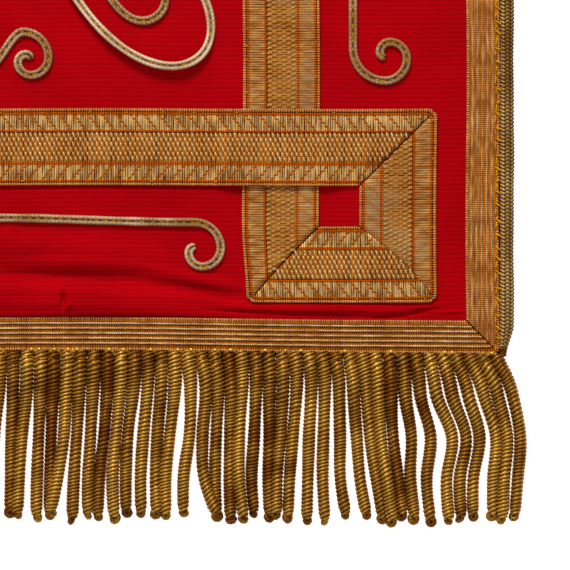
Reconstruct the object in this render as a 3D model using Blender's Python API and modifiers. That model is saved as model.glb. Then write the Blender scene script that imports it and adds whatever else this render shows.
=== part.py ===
"""A trumpet banner laid flat: ribbed red cloth edged with striped galloon, an interlaced strap of wide
galloon with a loop in every corner, scrolls and a knot of couched double cord, a plaited cord down each side
and a bullion fringe along the foot.

Frame: +X runs across the banner, +Y towards its head and +Z up from the surface that it lies on. The origin
is at the middle of the cloth's underside. All sizes are metres.
"""

import math
import random
from collections import namedtuple

import bmesh
import bpy

MM = 0.001
GAP = 0.3 * MM  # air between two pieces that touch

# Ground cloth
CLOTH_HALF_X = 201.0 * MM
CLOTH_HEAD_Y = 200.4 * MM
CLOTH_FOOT_Y = -196.9 * MM
CLOTH_THICK = 1.5 * MM
FOOT_BOW = 1.6 * MM  # the foot of the banner is drawn up by this much in its middle

# Striped galloon round the edge
BORDER_HALF = 200.2 * MM
BORDER_WIDE = 12.8 * MM
BORDER_THICK = 1.1 * MM
BORDER_STEPS = 8  # straight pieces in which its bowed foot is drawn

# Wide galloon strap: its middle line runs on an inner and an outer track
STRAP_WIDE = 30.0 * MM
STRAP_THICK = 1.0 * MM
STRAP_INNER_X = 114.9 * MM
STRAP_OUTER_X = 160.8 * MM
STRAP_INNER_Y = 119.2 * MM
STRAP_OUTER_Y = 165.1 * MM
STRAP_LIFT = STRAP_THICK + GAP  # of the upper layer where the strap crosses itself
STRAP_CLEAR = 2.0 * MM  # level stretch beyond the crossing's edge
STRAP_RAMP = 10.0 * MM
STRAP_STEP = 45.0 * MM
STRAP_MITRE_FREE = 16.5 * MM  # no section this close to a corner but the mitre itself

# Couched double cord
CORD_WIDE = 3.5 * MM
CORD_HIGH = 1.7 * MM
CORD_TOP_SHARE = 0.8  # width of its top as a share of its foot
QUARTER_STEPS = 4
RUN_STEPS = 5

# Plaited cord down each side
EDGE_CORD_RADIUS = 2.6 * MM
EDGE_CORD_X = CLOTH_HALF_X + GAP + EDGE_CORD_RADIUS
EDGE_CORD_FOOT_Y = -199.8 * MM
EDGE_CORD_TAPER = 9.0 * MM
EDGE_CORD_STEPS = 8
EDGE_CORD_TIP = 0.55  # thickness of its ends as a share of the full cord

# Bullion fringe
HEADING_HALF_X = CLOTH_HALF_X - 0.1 * MM
HEADING_TOP_Y = CLOTH_FOOT_Y - GAP
HEADING_FOOT_Y = -200.5 * MM
STRANDS = 77
STRAND_SPAN = 397.4 * MM  # from the middle of the first strand to the middle of the last
STRAND_LONG = 65.0 * MM
STRAND_WIDE = 4.1 * MM
STRAND_HIGH = 4.4 * MM
STRAND_NECK = 3.0 * MM  # the length in which a strand swells from the heading to its full size
STRAND_STEPS = 7
STRAND_TIP = 0.7  # size of its end as a share of the full strand
STRAND_SLOPE_SHARE = 0.04  # share of its length over which its slope is taken
STRAND_UNEVEN = 1.2 * MM
STRAND_FAN = 2.2 * MM  # the outermost strands stand this much further out than their roots

Puff = namedtuple("Puff", "x y long wide turn rise")
# Soft rises of the cloth between the sewn pieces: middle, half lengths, turn in degrees and height, in mm
PUFFS = (
    Puff(x=18, y=-158.5, long=70, wide=8.6, turn=-6, rise=1.6),
    Puff(x=36, y=-177.5, long=78, wide=8.5, turn=-2.5, rise=3.0),
    Puff(x=128, y=-183, long=58, wide=4.2, turn=-0.5, rise=1.4),
    Puff(x=-60, y=-176.5, long=39, wide=8, turn=2, rise=1.8),
    Puff(x=182, y=40, long=6.5, wide=100, turn=2, rise=1.0),
    Puff(x=-182, y=-30, long=6.5, wide=90, turn=-2, rise=1.1),
    Puff(x=-52, y=54, long=44, wide=30, turn=20, rise=1.2),
    Puff(x=56, y=-42, long=40, wide=26, turn=-30, rise=1.0),
    Puff(x=10, y=171, long=96, wide=13, turn=3, rise=1.4),
)
PINNED = 4.0 * MM  # the cloth comes down to the flat over this distance from the galloon border

GridBand = namedtuple("GridBand", "end step")
# The cloth's grid is finer where its folds are short, in mm
COLUMN_BANDS = (
    GridBand(end=-189, step=12),
    GridBand(end=-173, step=4),
    GridBand(end=-96, step=19),
    GridBand(end=130, step=15),
    GridBand(end=173, step=14),
    GridBand(end=189, step=4),
    GridBand(end=201, step=12),
)
ROW_BANDS = (
    GridBand(end=-187, step=5),
    GridBand(end=-179, step=2),
    GridBand(end=-164, step=3),
    GridBand(end=-142, step=4.4),
    GridBand(end=156, step=27),
    GridBand(end=186, step=7.5),
    GridBand(end=200.4, step=15),
)

Sway = namedtuple("Sway", "x quarter half three_quarter foot")
# How far the strands lean sideways, in mm, at four places down their length, for places across the banner
SWAYS = (
    Sway(x=-201, quarter=-1.9, half=-2.8, three_quarter=-2.6, foot=-2.4),
    Sway(x=-180, quarter=-0.8, half=-1.8, three_quarter=-2.2, foot=-1.4),
    Sway(x=-150, quarter=0.4, half=0.8, three_quarter=-0.4, foot=-1.0),
    Sway(x=-110, quarter=0.6, half=2.2, three_quarter=2.4, foot=1.0),
    Sway(x=-70, quarter=-0.4, half=-0.6, three_quarter=-1.8, foot=-2.6),
    Sway(x=-30, quarter=0.2, half=0.8, three_quarter=0.2, foot=-0.8),
    Sway(x=10, quarter=-0.2, half=-0.8, three_quarter=-1.2, foot=-1.4),
    Sway(x=35, quarter=-0.9, half=-1.4, three_quarter=-2.4, foot=-3.0),
    Sway(x=63, quarter=-1.2, half=-3.2, three_quarter=-3.8, foot=-3.3),
    Sway(x=74, quarter=-0.4, half=-1.4, three_quarter=-2.7, foot=-2.2),
    Sway(x=83, quarter=0.9, half=0.3, three_quarter=-0.4, foot=1.0),
    Sway(x=94, quarter=0.2, half=-0.3, three_quarter=-0.4, foot=0.0),
    Sway(x=104, quarter=-1.0, half=-1.8, three_quarter=-2.0, foot=-1.4),
    Sway(x=116, quarter=-0.7, half=-1.4, three_quarter=-2.6, foot=-2.8),
    Sway(x=126, quarter=0.0, half=0.0, three_quarter=0.2, foot=0.2),
    Sway(x=137, quarter=0.3, half=0.8, three_quarter=1.0, foot=3.8),
    Sway(x=147, quarter=0.2, half=1.1, three_quarter=3.0, foot=5.4),
    Sway(x=157, quarter=-0.5, half=0.6, three_quarter=2.8, foot=5.0),
    Sway(x=163, quarter=-0.2, half=3.0, three_quarter=2.6, foot=4.7),
    Sway(x=173, quarter=1.2, half=7.4, three_quarter=4.8, foot=6.0),
    Sway(x=184, quarter=3.2, half=8.0, three_quarter=6.0, foot=6.0),
    Sway(x=201, quarter=4.8, half=7.8, three_quarter=7.2, foot=5.9),
)

# Scrolls that follow the strap outside it: place of the straight run, its half length, the arcs of its ends
Scroll = namedtuple("Scroll", "offset half_run bow radii")
SIDE_SCROLL = Scroll(offset=143.1, half_run=80.7, bow=0.0, radii=(12.5, 8.6, 6.6, 4.0))
END_SCROLL = Scroll(offset=146.8, half_run=81.4, bow=1.8, radii=(10.0, 7.3, 5.3, 2.7))
# Smaller scrolls inside the strap, one towards each side
FIELD_SCROLL = Scroll(offset=88.0, half_run=14.0, bow=-14.0, radii=(10.0, 7.0, 5.0, 3.2))
# Knot of four corner loops and the ring in its middle
KNOT_ROUND = 68.0 * MM
KNOT_LOOP = 50.0 * MM
KNOT_STEPS = 96
KNOT_LIFT = CORD_HIGH + GAP + 0.2 * MM
KNOT_STEEPNESS = 0.9  # how fast the cord climbs from under a crossing to over the next
RING_RADIUS = 10.0 * MM
RING_STEPS = 20
# A leaf stands in each loop of the knot, point inwards
LEAF_NEAR = 62.0 * MM
LEAF_FAR = 95.0 * MM
LEAF_HALF_WIDE = 9.0 * MM
LEAF_POINT = 0.35  # how much narrower its outer half is
LEAF_STEPS = 22


def smooth(share):
    """0 below 0, 1 above 1 and a soft S between."""
    share = min(max(share, 0.0), 1.0)
    return share * share * (3.0 - 2.0 * share)


def cloth_rise(x, y):
    """Height of the cloth's underside above the surface at a point."""
    inside = BORDER_HALF - BORDER_WIDE - max(abs(x), abs(y))
    rise = 0.0
    for puff in PUFFS:
        turn = math.radians(puff.turn)
        across, along = x / MM - puff.x, y / MM - puff.y
        u = (across * math.cos(turn) + along * math.sin(turn)) / puff.long
        v = (along * math.cos(turn) - across * math.sin(turn)) / puff.wide
        rise += puff.rise * MM * max(0.0, 1.0 - u * u - v * v) ** 2
    return rise * smooth(inside / PINNED)


def foot_bow(x):
    """How far the banner's lower edge is drawn up at a place across it."""
    return FOOT_BOW * (1.0 - (x / CLOTH_HALF_X) ** 2)


def sewn_level(x, y):
    """Underside of a piece that is sewn down on the cloth."""
    return cloth_rise(x, y) + CLOTH_THICK + GAP


def make_material(name, colour, roughness, metallic):
    made = bpy.data.materials.new(name)
    made.use_nodes = True
    shader = made.node_tree.nodes["Principled BSDF"]
    shader.inputs["Base Color"].default_value = (*colour, 1.0)
    shader.inputs["Roughness"].default_value = roughness
    shader.inputs["Metallic"].default_value = metallic
    return made


def add_object(name, data, material, collection):
    made = bpy.data.objects.new(name, data)
    data.materials.append(material)
    collection.objects.link(made)
    return made


def grid_lines(start, bands):
    """Places of the grid's lines, in metres, stepping evenly to the end of each band."""
    lines = [start]
    for band in bands:
        length = band.end * MM - lines[-1]
        count = max(1, round(length / (band.step * MM)))
        first = lines[-1]
        lines += [first + length * (k + 1) / count for k in range(count)]
    return lines


def build_ground_cloth(material, collection):
    """The red cloth: a sheet on its folds, thickened downwards."""
    columns = grid_lines(-CLOTH_HALF_X, COLUMN_BANDS)
    rows = grid_lines(CLOTH_FOOT_Y, ROW_BANDS)
    grid = bmesh.new()
    bmesh.ops.create_grid(grid, x_segments=len(columns) - 1, y_segments=len(rows) - 1, size=0.5)
    for vertex in grid.verts:
        x = columns[round((vertex.co.x + 0.5) * (len(columns) - 1))]
        row = round((vertex.co.y + 0.5) * (len(rows) - 1))
        y = rows[row] + (foot_bow(x) if row == 0 else 0.0)
        vertex.co = (x, y, cloth_rise(x, y) + CLOTH_THICK)
    mesh = bpy.data.meshes.new("ground_cloth")
    grid.to_mesh(mesh)
    grid.free()
    cloth = add_object("ground_cloth", mesh, material, collection)
    solidify = cloth.modifiers.new("thickness", "SOLIDIFY")
    solidify.thickness = CLOTH_THICK
    solidify.offset = -1.0


def border_outline(inset):
    """Corners of a frame this far inside the border's outer edge, with a bowed foot."""
    half = BORDER_HALF - inset
    foot = [half * (2 * k / BORDER_STEPS - 1) for k in range(BORDER_STEPS + 1)]
    return [*((x, foot_bow(x) - half) for x in foot), (half, half), (-half, half)]


def build_border_galloon(material, collection):
    """The striped galloon: a flat frame with a rectangular opening."""
    outline = bpy.data.curves.new("border_galloon", "CURVE")
    outline.dimensions = "2D"
    outline.fill_mode = "BOTH"
    outline.extrude = BORDER_THICK / 2
    for inset in (0.0, BORDER_WIDE):
        corners = border_outline(inset)
        spline = outline.splines.new("POLY")
        spline.points.add(len(corners) - 1)
        spline.use_cyclic_u = True
        for point, (x, y) in zip(spline.points, corners):
            point.co = (x, y, 0.0, 1.0)
    border = add_object("border_galloon", outline, material, collection)
    border.location.z = CLOTH_THICK + GAP + BORDER_THICK / 2


def strap_corners():
    """Corners of the strap's middle line, once round, with a loop at each corner of the banner."""
    quarter = (
        (STRAP_OUTER_X, -STRAP_INNER_Y), (STRAP_OUTER_X, -STRAP_OUTER_Y), (STRAP_INNER_X, -STRAP_OUTER_Y),
    )
    right = [*quarter, *((x, -y) for x, y in reversed(quarter))]
    return [*right, *((-x, -y) for x, y in right)]


def strap_lift(x):
    """Extra height at x of a level leg on the inner track, which passes over the upright legs."""
    beyond = abs(abs(x) - STRAP_INNER_X) - STRAP_WIDE / 2 - STRAP_CLEAR
    return STRAP_LIFT * (1.0 - smooth(beyond / STRAP_RAMP))


def strap_leg_places(start, end):
    """Coordinates along one leg at which the strap gets a section, its two mitred ends left out."""
    low, high = sorted((start, end))
    count = max(1, round((high - low) / STRAP_STEP))
    places = {low + (high - low) * k / count for k in range(1, count)}
    reach = STRAP_WIDE / 2 + STRAP_CLEAR
    beyonds = (-reach - STRAP_RAMP, -reach - STRAP_RAMP / 2, -reach, reach, reach + STRAP_RAMP / 2)
    for side in (-1, 1):
        places.update(side * (STRAP_INNER_X + beyond) for beyond in beyonds)
    inside = sorted(p for p in places if low + STRAP_MITRE_FREE < p < high - STRAP_MITRE_FREE)
    return inside if start < end else inside[::-1]


def leg_direction(start, end):
    """Unit vector along a leg of the strap."""
    length = math.dist(start, end)
    return (end[0] - start[0]) / length, (end[1] - start[1]) / length


def strap_sections():
    """Left edge, right edge and lift of each of the strap's sections, mitred at the corners."""
    corners = strap_corners()
    half = STRAP_WIDE / 2
    sections = []
    for k, (x, y) in enumerate(corners):
        after = corners[(k + 1) % len(corners)]
        in_x, in_y = leg_direction(corners[k - 1], (x, y))
        out_x, out_y = leg_direction((x, y), after)
        lean_x, lean_y = (-in_y - out_y) * half, (in_x + out_x) * half
        sections.append(((x + lean_x, y + lean_y), (x - lean_x, y - lean_y), 0.0))
        level_leg = y == after[1]
        crossing_leg = level_leg and abs(y) == STRAP_INNER_Y
        ends = (x, after[0]) if level_leg else (y, after[1])
        for place in strap_leg_places(*ends):
            at_x, at_y = (place, y) if level_leg else (x, place)
            left = (at_x - out_y * half, at_y + out_x * half)
            right = (at_x + out_y * half, at_y - out_x * half)
            sections.append((left, right, strap_lift(at_x) if crossing_leg else 0.0))
    return sections


def build_strap_galloon(material, collection):
    """The wide galloon: one strip with mitred corners that passes over itself at the foot of each loop."""
    strip = bmesh.new()
    pairs = []
    for left, right, lift in strap_sections():
        pairs.append([strip.verts.new((x, y, sewn_level(x, y) + lift)) for x, y in (left, right)])
    for (left, right), (next_left, next_right) in zip(pairs, pairs[1:] + pairs[:1]):
        strip.faces.new((right, next_right, next_left, left))
    mesh = bpy.data.meshes.new("strap_galloon")
    strip.to_mesh(mesh)
    strip.free()
    strap = add_object("strap_galloon", mesh, material, collection)
    solidify = strap.modifiers.new("thickness", "SOLIDIFY")
    solidify.thickness = STRAP_THICK
    solidify.offset = 1.0


def cord_section(helpers):
    """Cross-section of the double cord, broad below and narrower on top."""
    section = bpy.data.curves.new("cord_section", "CURVE")
    section.dimensions = "2D"
    spline = section.splines.new("POLY")
    spline.points.add(3)
    spline.use_cyclic_u = True
    half = CORD_WIDE / 2
    half_top = half * CORD_TOP_SHARE
    corners = ((-half_top, CORD_HIGH), (half_top, CORD_HIGH), (half, 0.0), (-half, 0.0))
    for point, (x, y) in zip(spline.points, corners):
        point.co = (x, y, 0.0, 1.0)
    made = bpy.data.objects.new("cord_section", section)
    made.hide_render = True
    made.display_type = "WIRE"
    helpers.objects.link(made)
    return made


def build_cord(name, route, section, material, collection, closed=False):
    """A double cord along a route of (x, y, lift), sewn down on the cloth."""
    curve = bpy.data.curves.new(name, "CURVE")
    curve.dimensions = "3D"
    curve.twist_mode = "Z_UP"
    curve.bevel_mode = "OBJECT"
    curve.bevel_object = section
    curve.use_fill_caps = True
    spline = curve.splines.new("POLY")
    spline.points.add(len(route) - 1)
    spline.use_cyclic_u = closed
    for point, (x, y, lift) in zip(spline.points, route):
        point.co = (x, y, sewn_level(x, y) + lift, 1.0)
    add_object(name, curve, material, collection)


def quarter_arcs(x, y, heading, radii):
    """Quarter arcs to the right, each tighter than the last, from a point and a heading in degrees."""
    points = []
    for radius in radii:
        start = math.radians(heading)
        middle_x, middle_y = x + radius * math.sin(start), y - radius * math.cos(start)
        for k in range(1, QUARTER_STEPS + 1):
            turned = start - math.pi / 2 * k / QUARTER_STEPS
            points.append((middle_x - radius * math.sin(turned), middle_y + radius * math.cos(turned)))
        x, y = points[-1]
        heading -= 90
    return points


def scroll_outline(scroll):
    """Half of a scroll from the middle of its run to the tip of its curl, in mm: +X along it, -Y outwards."""
    run = []
    for k in range(RUN_STEPS + 1):
        share = k / RUN_STEPS
        run.append((scroll.half_run * share, -scroll.bow * smooth(share)))
    return run + quarter_arcs(*run[-1], 0.0, scroll.radii)


def scroll_route(scroll, towards):
    """Route of a whole scroll. towards is the unit vector from the banner's middle to the scroll."""
    half = scroll_outline(scroll)
    whole = [(-x, y) for x, y in reversed(half[1:])] + half
    out_x, out_y = towards
    route = []
    for along, inward in whole:
        outward = (scroll.offset - inward) * MM
        route.append((out_x * outward - out_y * along * MM, out_y * outward + out_x * along * MM, 0.0))
    return route


def knot_route():
    """A closed line with a loop towards each corner, over and under itself by turns."""
    route = []
    for k in range(KNOT_STEPS):
        turn = 2 * math.pi * (k + 0.5) / KNOT_STEPS
        x = KNOT_ROUND * math.cos(turn) + KNOT_LOOP * math.cos(3 * turn)
        y = KNOT_ROUND * math.sin(turn) - KNOT_LOOP * math.sin(3 * turn)
        lift = KNOT_LIFT * smooth(0.5 + KNOT_STEEPNESS * math.sin(4 * turn))
        route.append(((x - y) * math.sqrt(0.5), (x + y) * math.sqrt(0.5), lift))
    return route


def ring_route():
    turns = [2 * math.pi * k / RING_STEPS for k in range(RING_STEPS)]
    return [(RING_RADIUS * math.cos(turn), RING_RADIUS * math.sin(turn), 0.0) for turn in turns]


def leaf_route(degrees):
    """A closed leaf along the ray at this angle, pointed at its inner end."""
    ray_x, ray_y = math.cos(math.radians(degrees)), math.sin(math.radians(degrees))
    route = []
    for k in range(LEAF_STEPS):
        turn = 2 * math.pi * k / LEAF_STEPS
        outward = (LEAF_NEAR + LEAF_FAR) / 2 - (LEAF_FAR - LEAF_NEAR) / 2 * math.cos(turn)
        across = LEAF_HALF_WIDE * math.sin(turn) * (1 - LEAF_POINT * math.cos(turn))
        route.append((outward * ray_x - across * ray_y, outward * ray_y + across * ray_x, 0.0))
    return route


def build_edge_cord(name, side, material, collection):
    """The plaited cord along one side, drawn in at both ends."""
    curve = bpy.data.curves.new(name, "CURVE")
    curve.dimensions = "3D"
    curve.bevel_depth = EDGE_CORD_RADIUS
    curve.bevel_resolution = 2
    curve.use_fill_caps = True
    low, high = EDGE_CORD_FOOT_Y + EDGE_CORD_TAPER, CLOTH_HEAD_Y - EDGE_CORD_TAPER
    middle = [low + (high - low) * k / EDGE_CORD_STEPS for k in range(EDGE_CORD_STEPS + 1)]
    places = [EDGE_CORD_FOOT_Y, *middle, CLOTH_HEAD_Y]
    spline = curve.splines.new("POLY")
    spline.points.add(len(places) - 1)
    for point, y in zip(spline.points, places):
        point.co = (side * EDGE_CORD_X, y, EDGE_CORD_RADIUS, 1.0)
        point.radius = 1.0 if low <= y <= high else EDGE_CORD_TIP
    add_object(name, curve, material, collection)


def sway_at(x, share):
    """Sideways lean of a strand that starts at x, at a share of its length."""
    columns = [0.0]
    for field in ("quarter", "half", "three_quarter", "foot"):
        low = max((s for s in SWAYS if s.x * MM <= x), key=lambda s: s.x)
        high = min((s for s in SWAYS if s.x * MM >= x), key=lambda s: s.x)
        between = 0.0 if high is low else (x / MM - low.x) / (high.x - low.x)
        columns.append((1 - between) * getattr(low, field) + between * getattr(high, field))
    place = min(share, 0.9999) * 4
    k = int(place)
    before, after = columns[max(k - 1, 0)], columns[min(k + 2, 4)]
    here, there = columns[k], columns[k + 1]
    t = place - k
    slope_here, slope_there = (there - before) / 2, (after - here) / 2
    bend = (2 * t**3 - 3 * t**2 + 1) * here + (t**3 - 2 * t**2 + t) * slope_here
    return (bend + (3 * t**2 - 2 * t**3) * there + (t**3 - t**2) * slope_there) * MM


def strand_ring(x, long, share):
    """Middle, sideways unit vector and size of a strand's section at a share of its length."""
    depth = STRAND_NECK + (long - STRAND_NECK) * share
    near, far = max(share - STRAND_SLOPE_SHARE, 0.0), min(share + STRAND_SLOPE_SHARE, 1.0)
    lean = (sway_at(x, far) - sway_at(x, near)) / ((far - near) * (long - STRAND_NECK))
    level = math.hypot(1.0, lean)
    size = STRAND_TIP if share == 1.0 else 1.0
    fan = STRAND_FAN * x / (STRAND_SPAN / 2)
    y = HEADING_FOOT_Y + foot_bow(x) - depth
    return x + fan + sway_at(x, share), y, 1.0 / level, lean / level, size


def build_fringe(material, collection):
    """The fringe's heading strip with every strand drawn out of its lower edge."""
    heading = bmesh.new()
    bmesh.ops.create_cube(heading, size=1.0)
    wide, middle = HEADING_TOP_Y - HEADING_FOOT_Y, (HEADING_TOP_Y + HEADING_FOOT_Y) / 2
    for vertex in heading.verts:
        x, y, z = vertex.co
        vertex.co = (2 * x * HEADING_HALF_X, middle + y * wide, (z + 0.5) * CLOTH_THICK)
    roots = [STRAND_SPAN * (k / (STRANDS - 1) - 0.5) for k in range(STRANDS)]
    for root in roots:
        for side in (-1, 1):
            everything = heading.verts[:] + heading.edges[:] + heading.faces[:]
            cut = (root + side * STRAND_WIDE / 2, 0, 0)
            bmesh.ops.bisect_plane(heading, geom=everything, plane_co=cut, plane_no=(1, 0, 0))
    for vertex in heading.verts:
        vertex.co.y += foot_bow(vertex.co.x)
    lower = {}
    for face in heading.faces:
        if face.normal.y < -0.9:
            lower[face] = face.calc_center_median().x
    tips = []
    for root in roots:
        tips.append(min(lower, key=lambda face: abs(lower[face] - root)))
    uneven = random.Random(11)
    longs = [STRAND_LONG + uneven.uniform(-1, 1) * STRAND_UNEVEN for _ in roots]
    for step in range(STRAND_STEPS + 1):
        share = step / STRAND_STEPS
        for k, root in enumerate(roots):
            old = tips[k]
            old_x = old.calc_center_median().x
            tips[k] = bmesh.ops.extrude_discrete_faces(heading, faces=[old])["faces"][0]
            x, y, side_x, side_y, size = strand_ring(root, longs[k], share)
            base = min(vertex.co.z for vertex in tips[k].verts)
            for vertex in tips[k].verts:
                side = math.copysign(STRAND_WIDE / 2 * size, vertex.co.x - old_x)
                high = vertex.co.z > base + CLOTH_THICK / 2
                vertex.co = (x + side * side_x, y + side * side_y, STRAND_HIGH * size if high else 0.0)
    mesh = bpy.data.meshes.new("fringe")
    heading.to_mesh(mesh)
    heading.free()
    add_object("fringe", mesh, material, collection)


def main():
    for old in list(bpy.data.objects):
        bpy.data.objects.remove(old, do_unlink=True)
    banner = bpy.data.collections.new("trumpet_banner")
    helpers = bpy.data.collections.new("helpers")
    for collection in (banner, helpers):
        bpy.context.scene.collection.children.link(collection)

    red = make_material("red_rep", (0.40, 0.001, 0.006), 0.75, 0.0)
    lace = make_material("gold_lace", (0.42, 0.20, 0.05), 0.45, 0.3)
    striped = make_material("striped_lace", (0.40, 0.16, 0.03), 0.45, 0.2)
    cord = make_material("silver_gilt_cord", (0.38, 0.24, 0.11), 0.45, 0.4)
    bullion = make_material("gold_bullion", (0.36, 0.17, 0.03), 0.40, 0.5)

    build_ground_cloth(red, banner)
    build_border_galloon(striped, banner)
    build_strap_galloon(lace, banner)
    section = cord_section(helpers)
    sides = {"right": (1, 0), "head": (0, 1), "left": (-1, 0), "foot": (0, -1)}
    for side, towards in sides.items():
        outer = SIDE_SCROLL if towards[0] else END_SCROLL
        build_cord(f"scroll_{side}", scroll_route(outer, towards), section, cord, banner)
        build_cord(f"field_scroll_{side}", scroll_route(FIELD_SCROLL, towards), section, cord, banner)
    build_cord("field_knot", knot_route(), section, cord, banner, closed=True)
    build_cord("field_ring", ring_route(), section, cord, banner, closed=True)
    for k in range(4):
        build_cord(f"field_leaf_{k + 1}", leaf_route(45 + 90 * k), section, cord, banner, closed=True)
    build_edge_cord("edge_cord_right", 1, cord, banner)
    build_edge_cord("edge_cord_left", -1, cord, banner)
    build_fringe(bullion, banner)


main()
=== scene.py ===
# %% [markdown]
# # A trumpet banner, dressed from its solids
#
# A fanfare trumpet carries a square cloth under its tube. This one is red rep, a cloth with fine level
# ribs. It is edged with striped galloon, framed by a strap of wide metal lace with a loop in every corner,
# and worked with couched double cord. A plaited cord runs down each side and bullions hang from its foot.
# It lies flat, face up.
#
# The solids give the true places and sizes. Here every one of them gets a finer piece with its real
# surface.

# %% Load the frame
import math
from collections import namedtuple

import bmesh
import bpy
import numpy as np
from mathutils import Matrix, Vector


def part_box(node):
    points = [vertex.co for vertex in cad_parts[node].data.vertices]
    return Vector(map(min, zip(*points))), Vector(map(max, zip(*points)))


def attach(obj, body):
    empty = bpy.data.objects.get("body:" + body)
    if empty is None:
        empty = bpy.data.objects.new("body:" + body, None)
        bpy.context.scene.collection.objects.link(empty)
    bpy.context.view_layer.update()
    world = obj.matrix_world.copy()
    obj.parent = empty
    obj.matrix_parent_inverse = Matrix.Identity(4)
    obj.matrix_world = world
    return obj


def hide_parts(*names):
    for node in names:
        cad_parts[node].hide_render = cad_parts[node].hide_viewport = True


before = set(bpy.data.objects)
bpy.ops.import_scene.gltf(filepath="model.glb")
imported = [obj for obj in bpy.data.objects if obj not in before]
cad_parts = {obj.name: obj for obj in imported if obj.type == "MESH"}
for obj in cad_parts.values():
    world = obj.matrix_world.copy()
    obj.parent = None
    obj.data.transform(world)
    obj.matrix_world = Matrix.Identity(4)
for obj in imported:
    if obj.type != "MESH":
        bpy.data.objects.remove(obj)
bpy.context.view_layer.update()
MM = 0.001
print("nodes:", ", ".join(sorted(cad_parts)))

# %% [markdown]
# ## Camera
# Cloth with a flat fringe is shown from straight above, so that nothing is foreshortened. A camera without
# perspective would keep the galloon's edges parallel, but it would hide how thick the cords are. A long
# lens keeps a little of that. The view takes in the lower right corner, where every kind of trim meets.

# %% Make the camera
def put_in_scene(name, data):
    made = bpy.data.objects.new(name, data)
    bpy.context.scene.collection.objects.link(made)
    return made


cloth_low, cloth_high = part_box("ground_cloth")
VIEW_WIDE = 223.4 * MM
AIM_LEFT, AIM_UP = 84.5 * MM, 23.8 * MM  # from the cloth's lower right corner to the picture's middle
LENS = 180.0
SENSOR = 36.0
camera = put_in_scene("camera", bpy.data.cameras.new("camera"))
camera.data.lens = LENS
camera.data.sensor_width = SENSOR
camera.data.clip_start = 0.01
camera.location = (cloth_high.x - AIM_LEFT, cloth_low.y + AIM_UP, VIEW_WIDE * LENS / SENSOR)
bpy.context.scene.camera = camera
print("camera above", [round(v, 4) for v in camera.location])

# %% [markdown]
# ## Light
# A soft box above the banner's head, a little to the left, draws the level ribs and lays short shadows
# towards the foot. A sun would do that too, but its shadows have hard edges, and cloth looks harsh in them.
# A second box, right above, lifts the tops of the metal threads. The surroundings are a dim even white, so
# that gilt thread has something dark to reflect beside something bright: that contrast is what reads as
# metal.

# %% Place the soft boxes
def add_soft_box(name, place, size, power):
    """A square lamp that looks at the middle of the picture."""
    lamp = bpy.data.lights.new(name, "AREA")
    lamp.size = size
    lamp.energy = power
    made = put_in_scene(name, lamp)
    aim = np.array([camera.location.x, camera.location.y, 0.0])
    made.location = aim + np.array(place)
    from_aim = made.location.copy()
    from_aim -= type(from_aim)(aim)
    made.rotation_euler = from_aim.to_track_quat("Z", "Y").to_euler()
    print(f"{name}: {size} m wide, {power} W")


add_soft_box("key_box", place=(-0.4, 1.4, 0.95), size=0.45, power=25.0)
add_soft_box("top_box", place=(0.1, 0.15, 2.2), size=1.3, power=8.5)
world = bpy.data.worlds.new("studio")
world.use_nodes = True
world.node_tree.nodes["Background"].inputs["Color"].default_value = (1.0, 1.0, 1.0, 1.0)
world.node_tree.nodes["Background"].inputs["Strength"].default_value = 0.3
bpy.context.scene.world = world
bpy.context.scene.view_settings.view_transform = "Standard"

# %% [markdown]
# ## Materials
# One function turns a hex colour to linear values and one adds a node with its settings and links. A
# material is a short chain of such nodes. A picture of woven thread could be wrapped round the pieces
# instead, but a pattern worked out from its pitch stays sharp from near by and follows every change of
# size. Threads are finer than the eye can split, so each weave starts from its real pitch in millimetres,
# and a note says where it is coarser.

# %% Colour and node helpers
def linear(hex_colour):
    """An sRGB hex colour as linear RGBA."""
    channels = [int(hex_colour[k : k + 2], 16) / 255 for k in (1, 3, 5)]
    return (*(c / 12.92 if c <= 0.04045 else ((c + 0.055) / 1.055) ** 2.4 for c in channels), 1.0)


def add_node(material, kind, inputs=(), **settings):
    """Adds a node with its settings and fills its inputs, each with a link or a plain value."""
    made = material.node_tree.nodes.new("ShaderNode" + kind)
    for name, setting in settings.items():
        setattr(made, name, setting)
    for place, value in dict(inputs).items():
        if isinstance(value, bpy.types.NodeSocket):
            material.node_tree.links.new(value, made.inputs[place])
        else:
            made.inputs[place].default_value = value
    return made


def start_material(name, roughness, metallic=0.0, specular=0.5, shine="#FFFFFF"):
    """A new material and its shader, whose even values sit on the shader's own sockets."""
    made = bpy.data.materials.new(name)
    made.use_nodes = True
    shader = made.node_tree.nodes["Principled BSDF"]
    shader.inputs["Roughness"].default_value = roughness
    shader.inputs["Metallic"].default_value = metallic
    shader.inputs["Specular IOR Level"].default_value = specular
    shader.inputs["Specular Tint"].default_value = linear(shine)
    print("material", name)
    return made, shader


def dress(material, shader, colour, height, deep):
    """Links a colour to a shader and lets a height pattern, so many metres deep, tilt its light."""
    bump = add_node(material, "Bump", {"Strength": 1.0, "Distance": deep, "Height": height}).outputs[0]
    material.node_tree.links.new(colour, shader.inputs["Base Color"])
    material.node_tree.links.new(bump, shader.inputs["Normal"])


WAVE = 2 * math.pi / 20  # a wave texture's bands repeat at this share of its scaled coordinate

# %% [markdown]
# ### Red rep
# Rep is a plain weave with a thick filling, so the fine warp bends over it and makes level ribs. Its dye is
# deep and the yarn is matt, so it gives the eye one even red, with painted shade that darkens it between its
# ribs. A bump could draw the ribs, but they are wide enough to catch the light one by one, so they are in the
# mesh. The material adds the warp threads that cross them, a soft unevenness of the dye, and that painted
# shade, which follows the height of each rib.

# %% Red rep
WARP = 0.75 * MM  # the real warp is finer than shows, so a few of its threads are drawn as one


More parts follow.
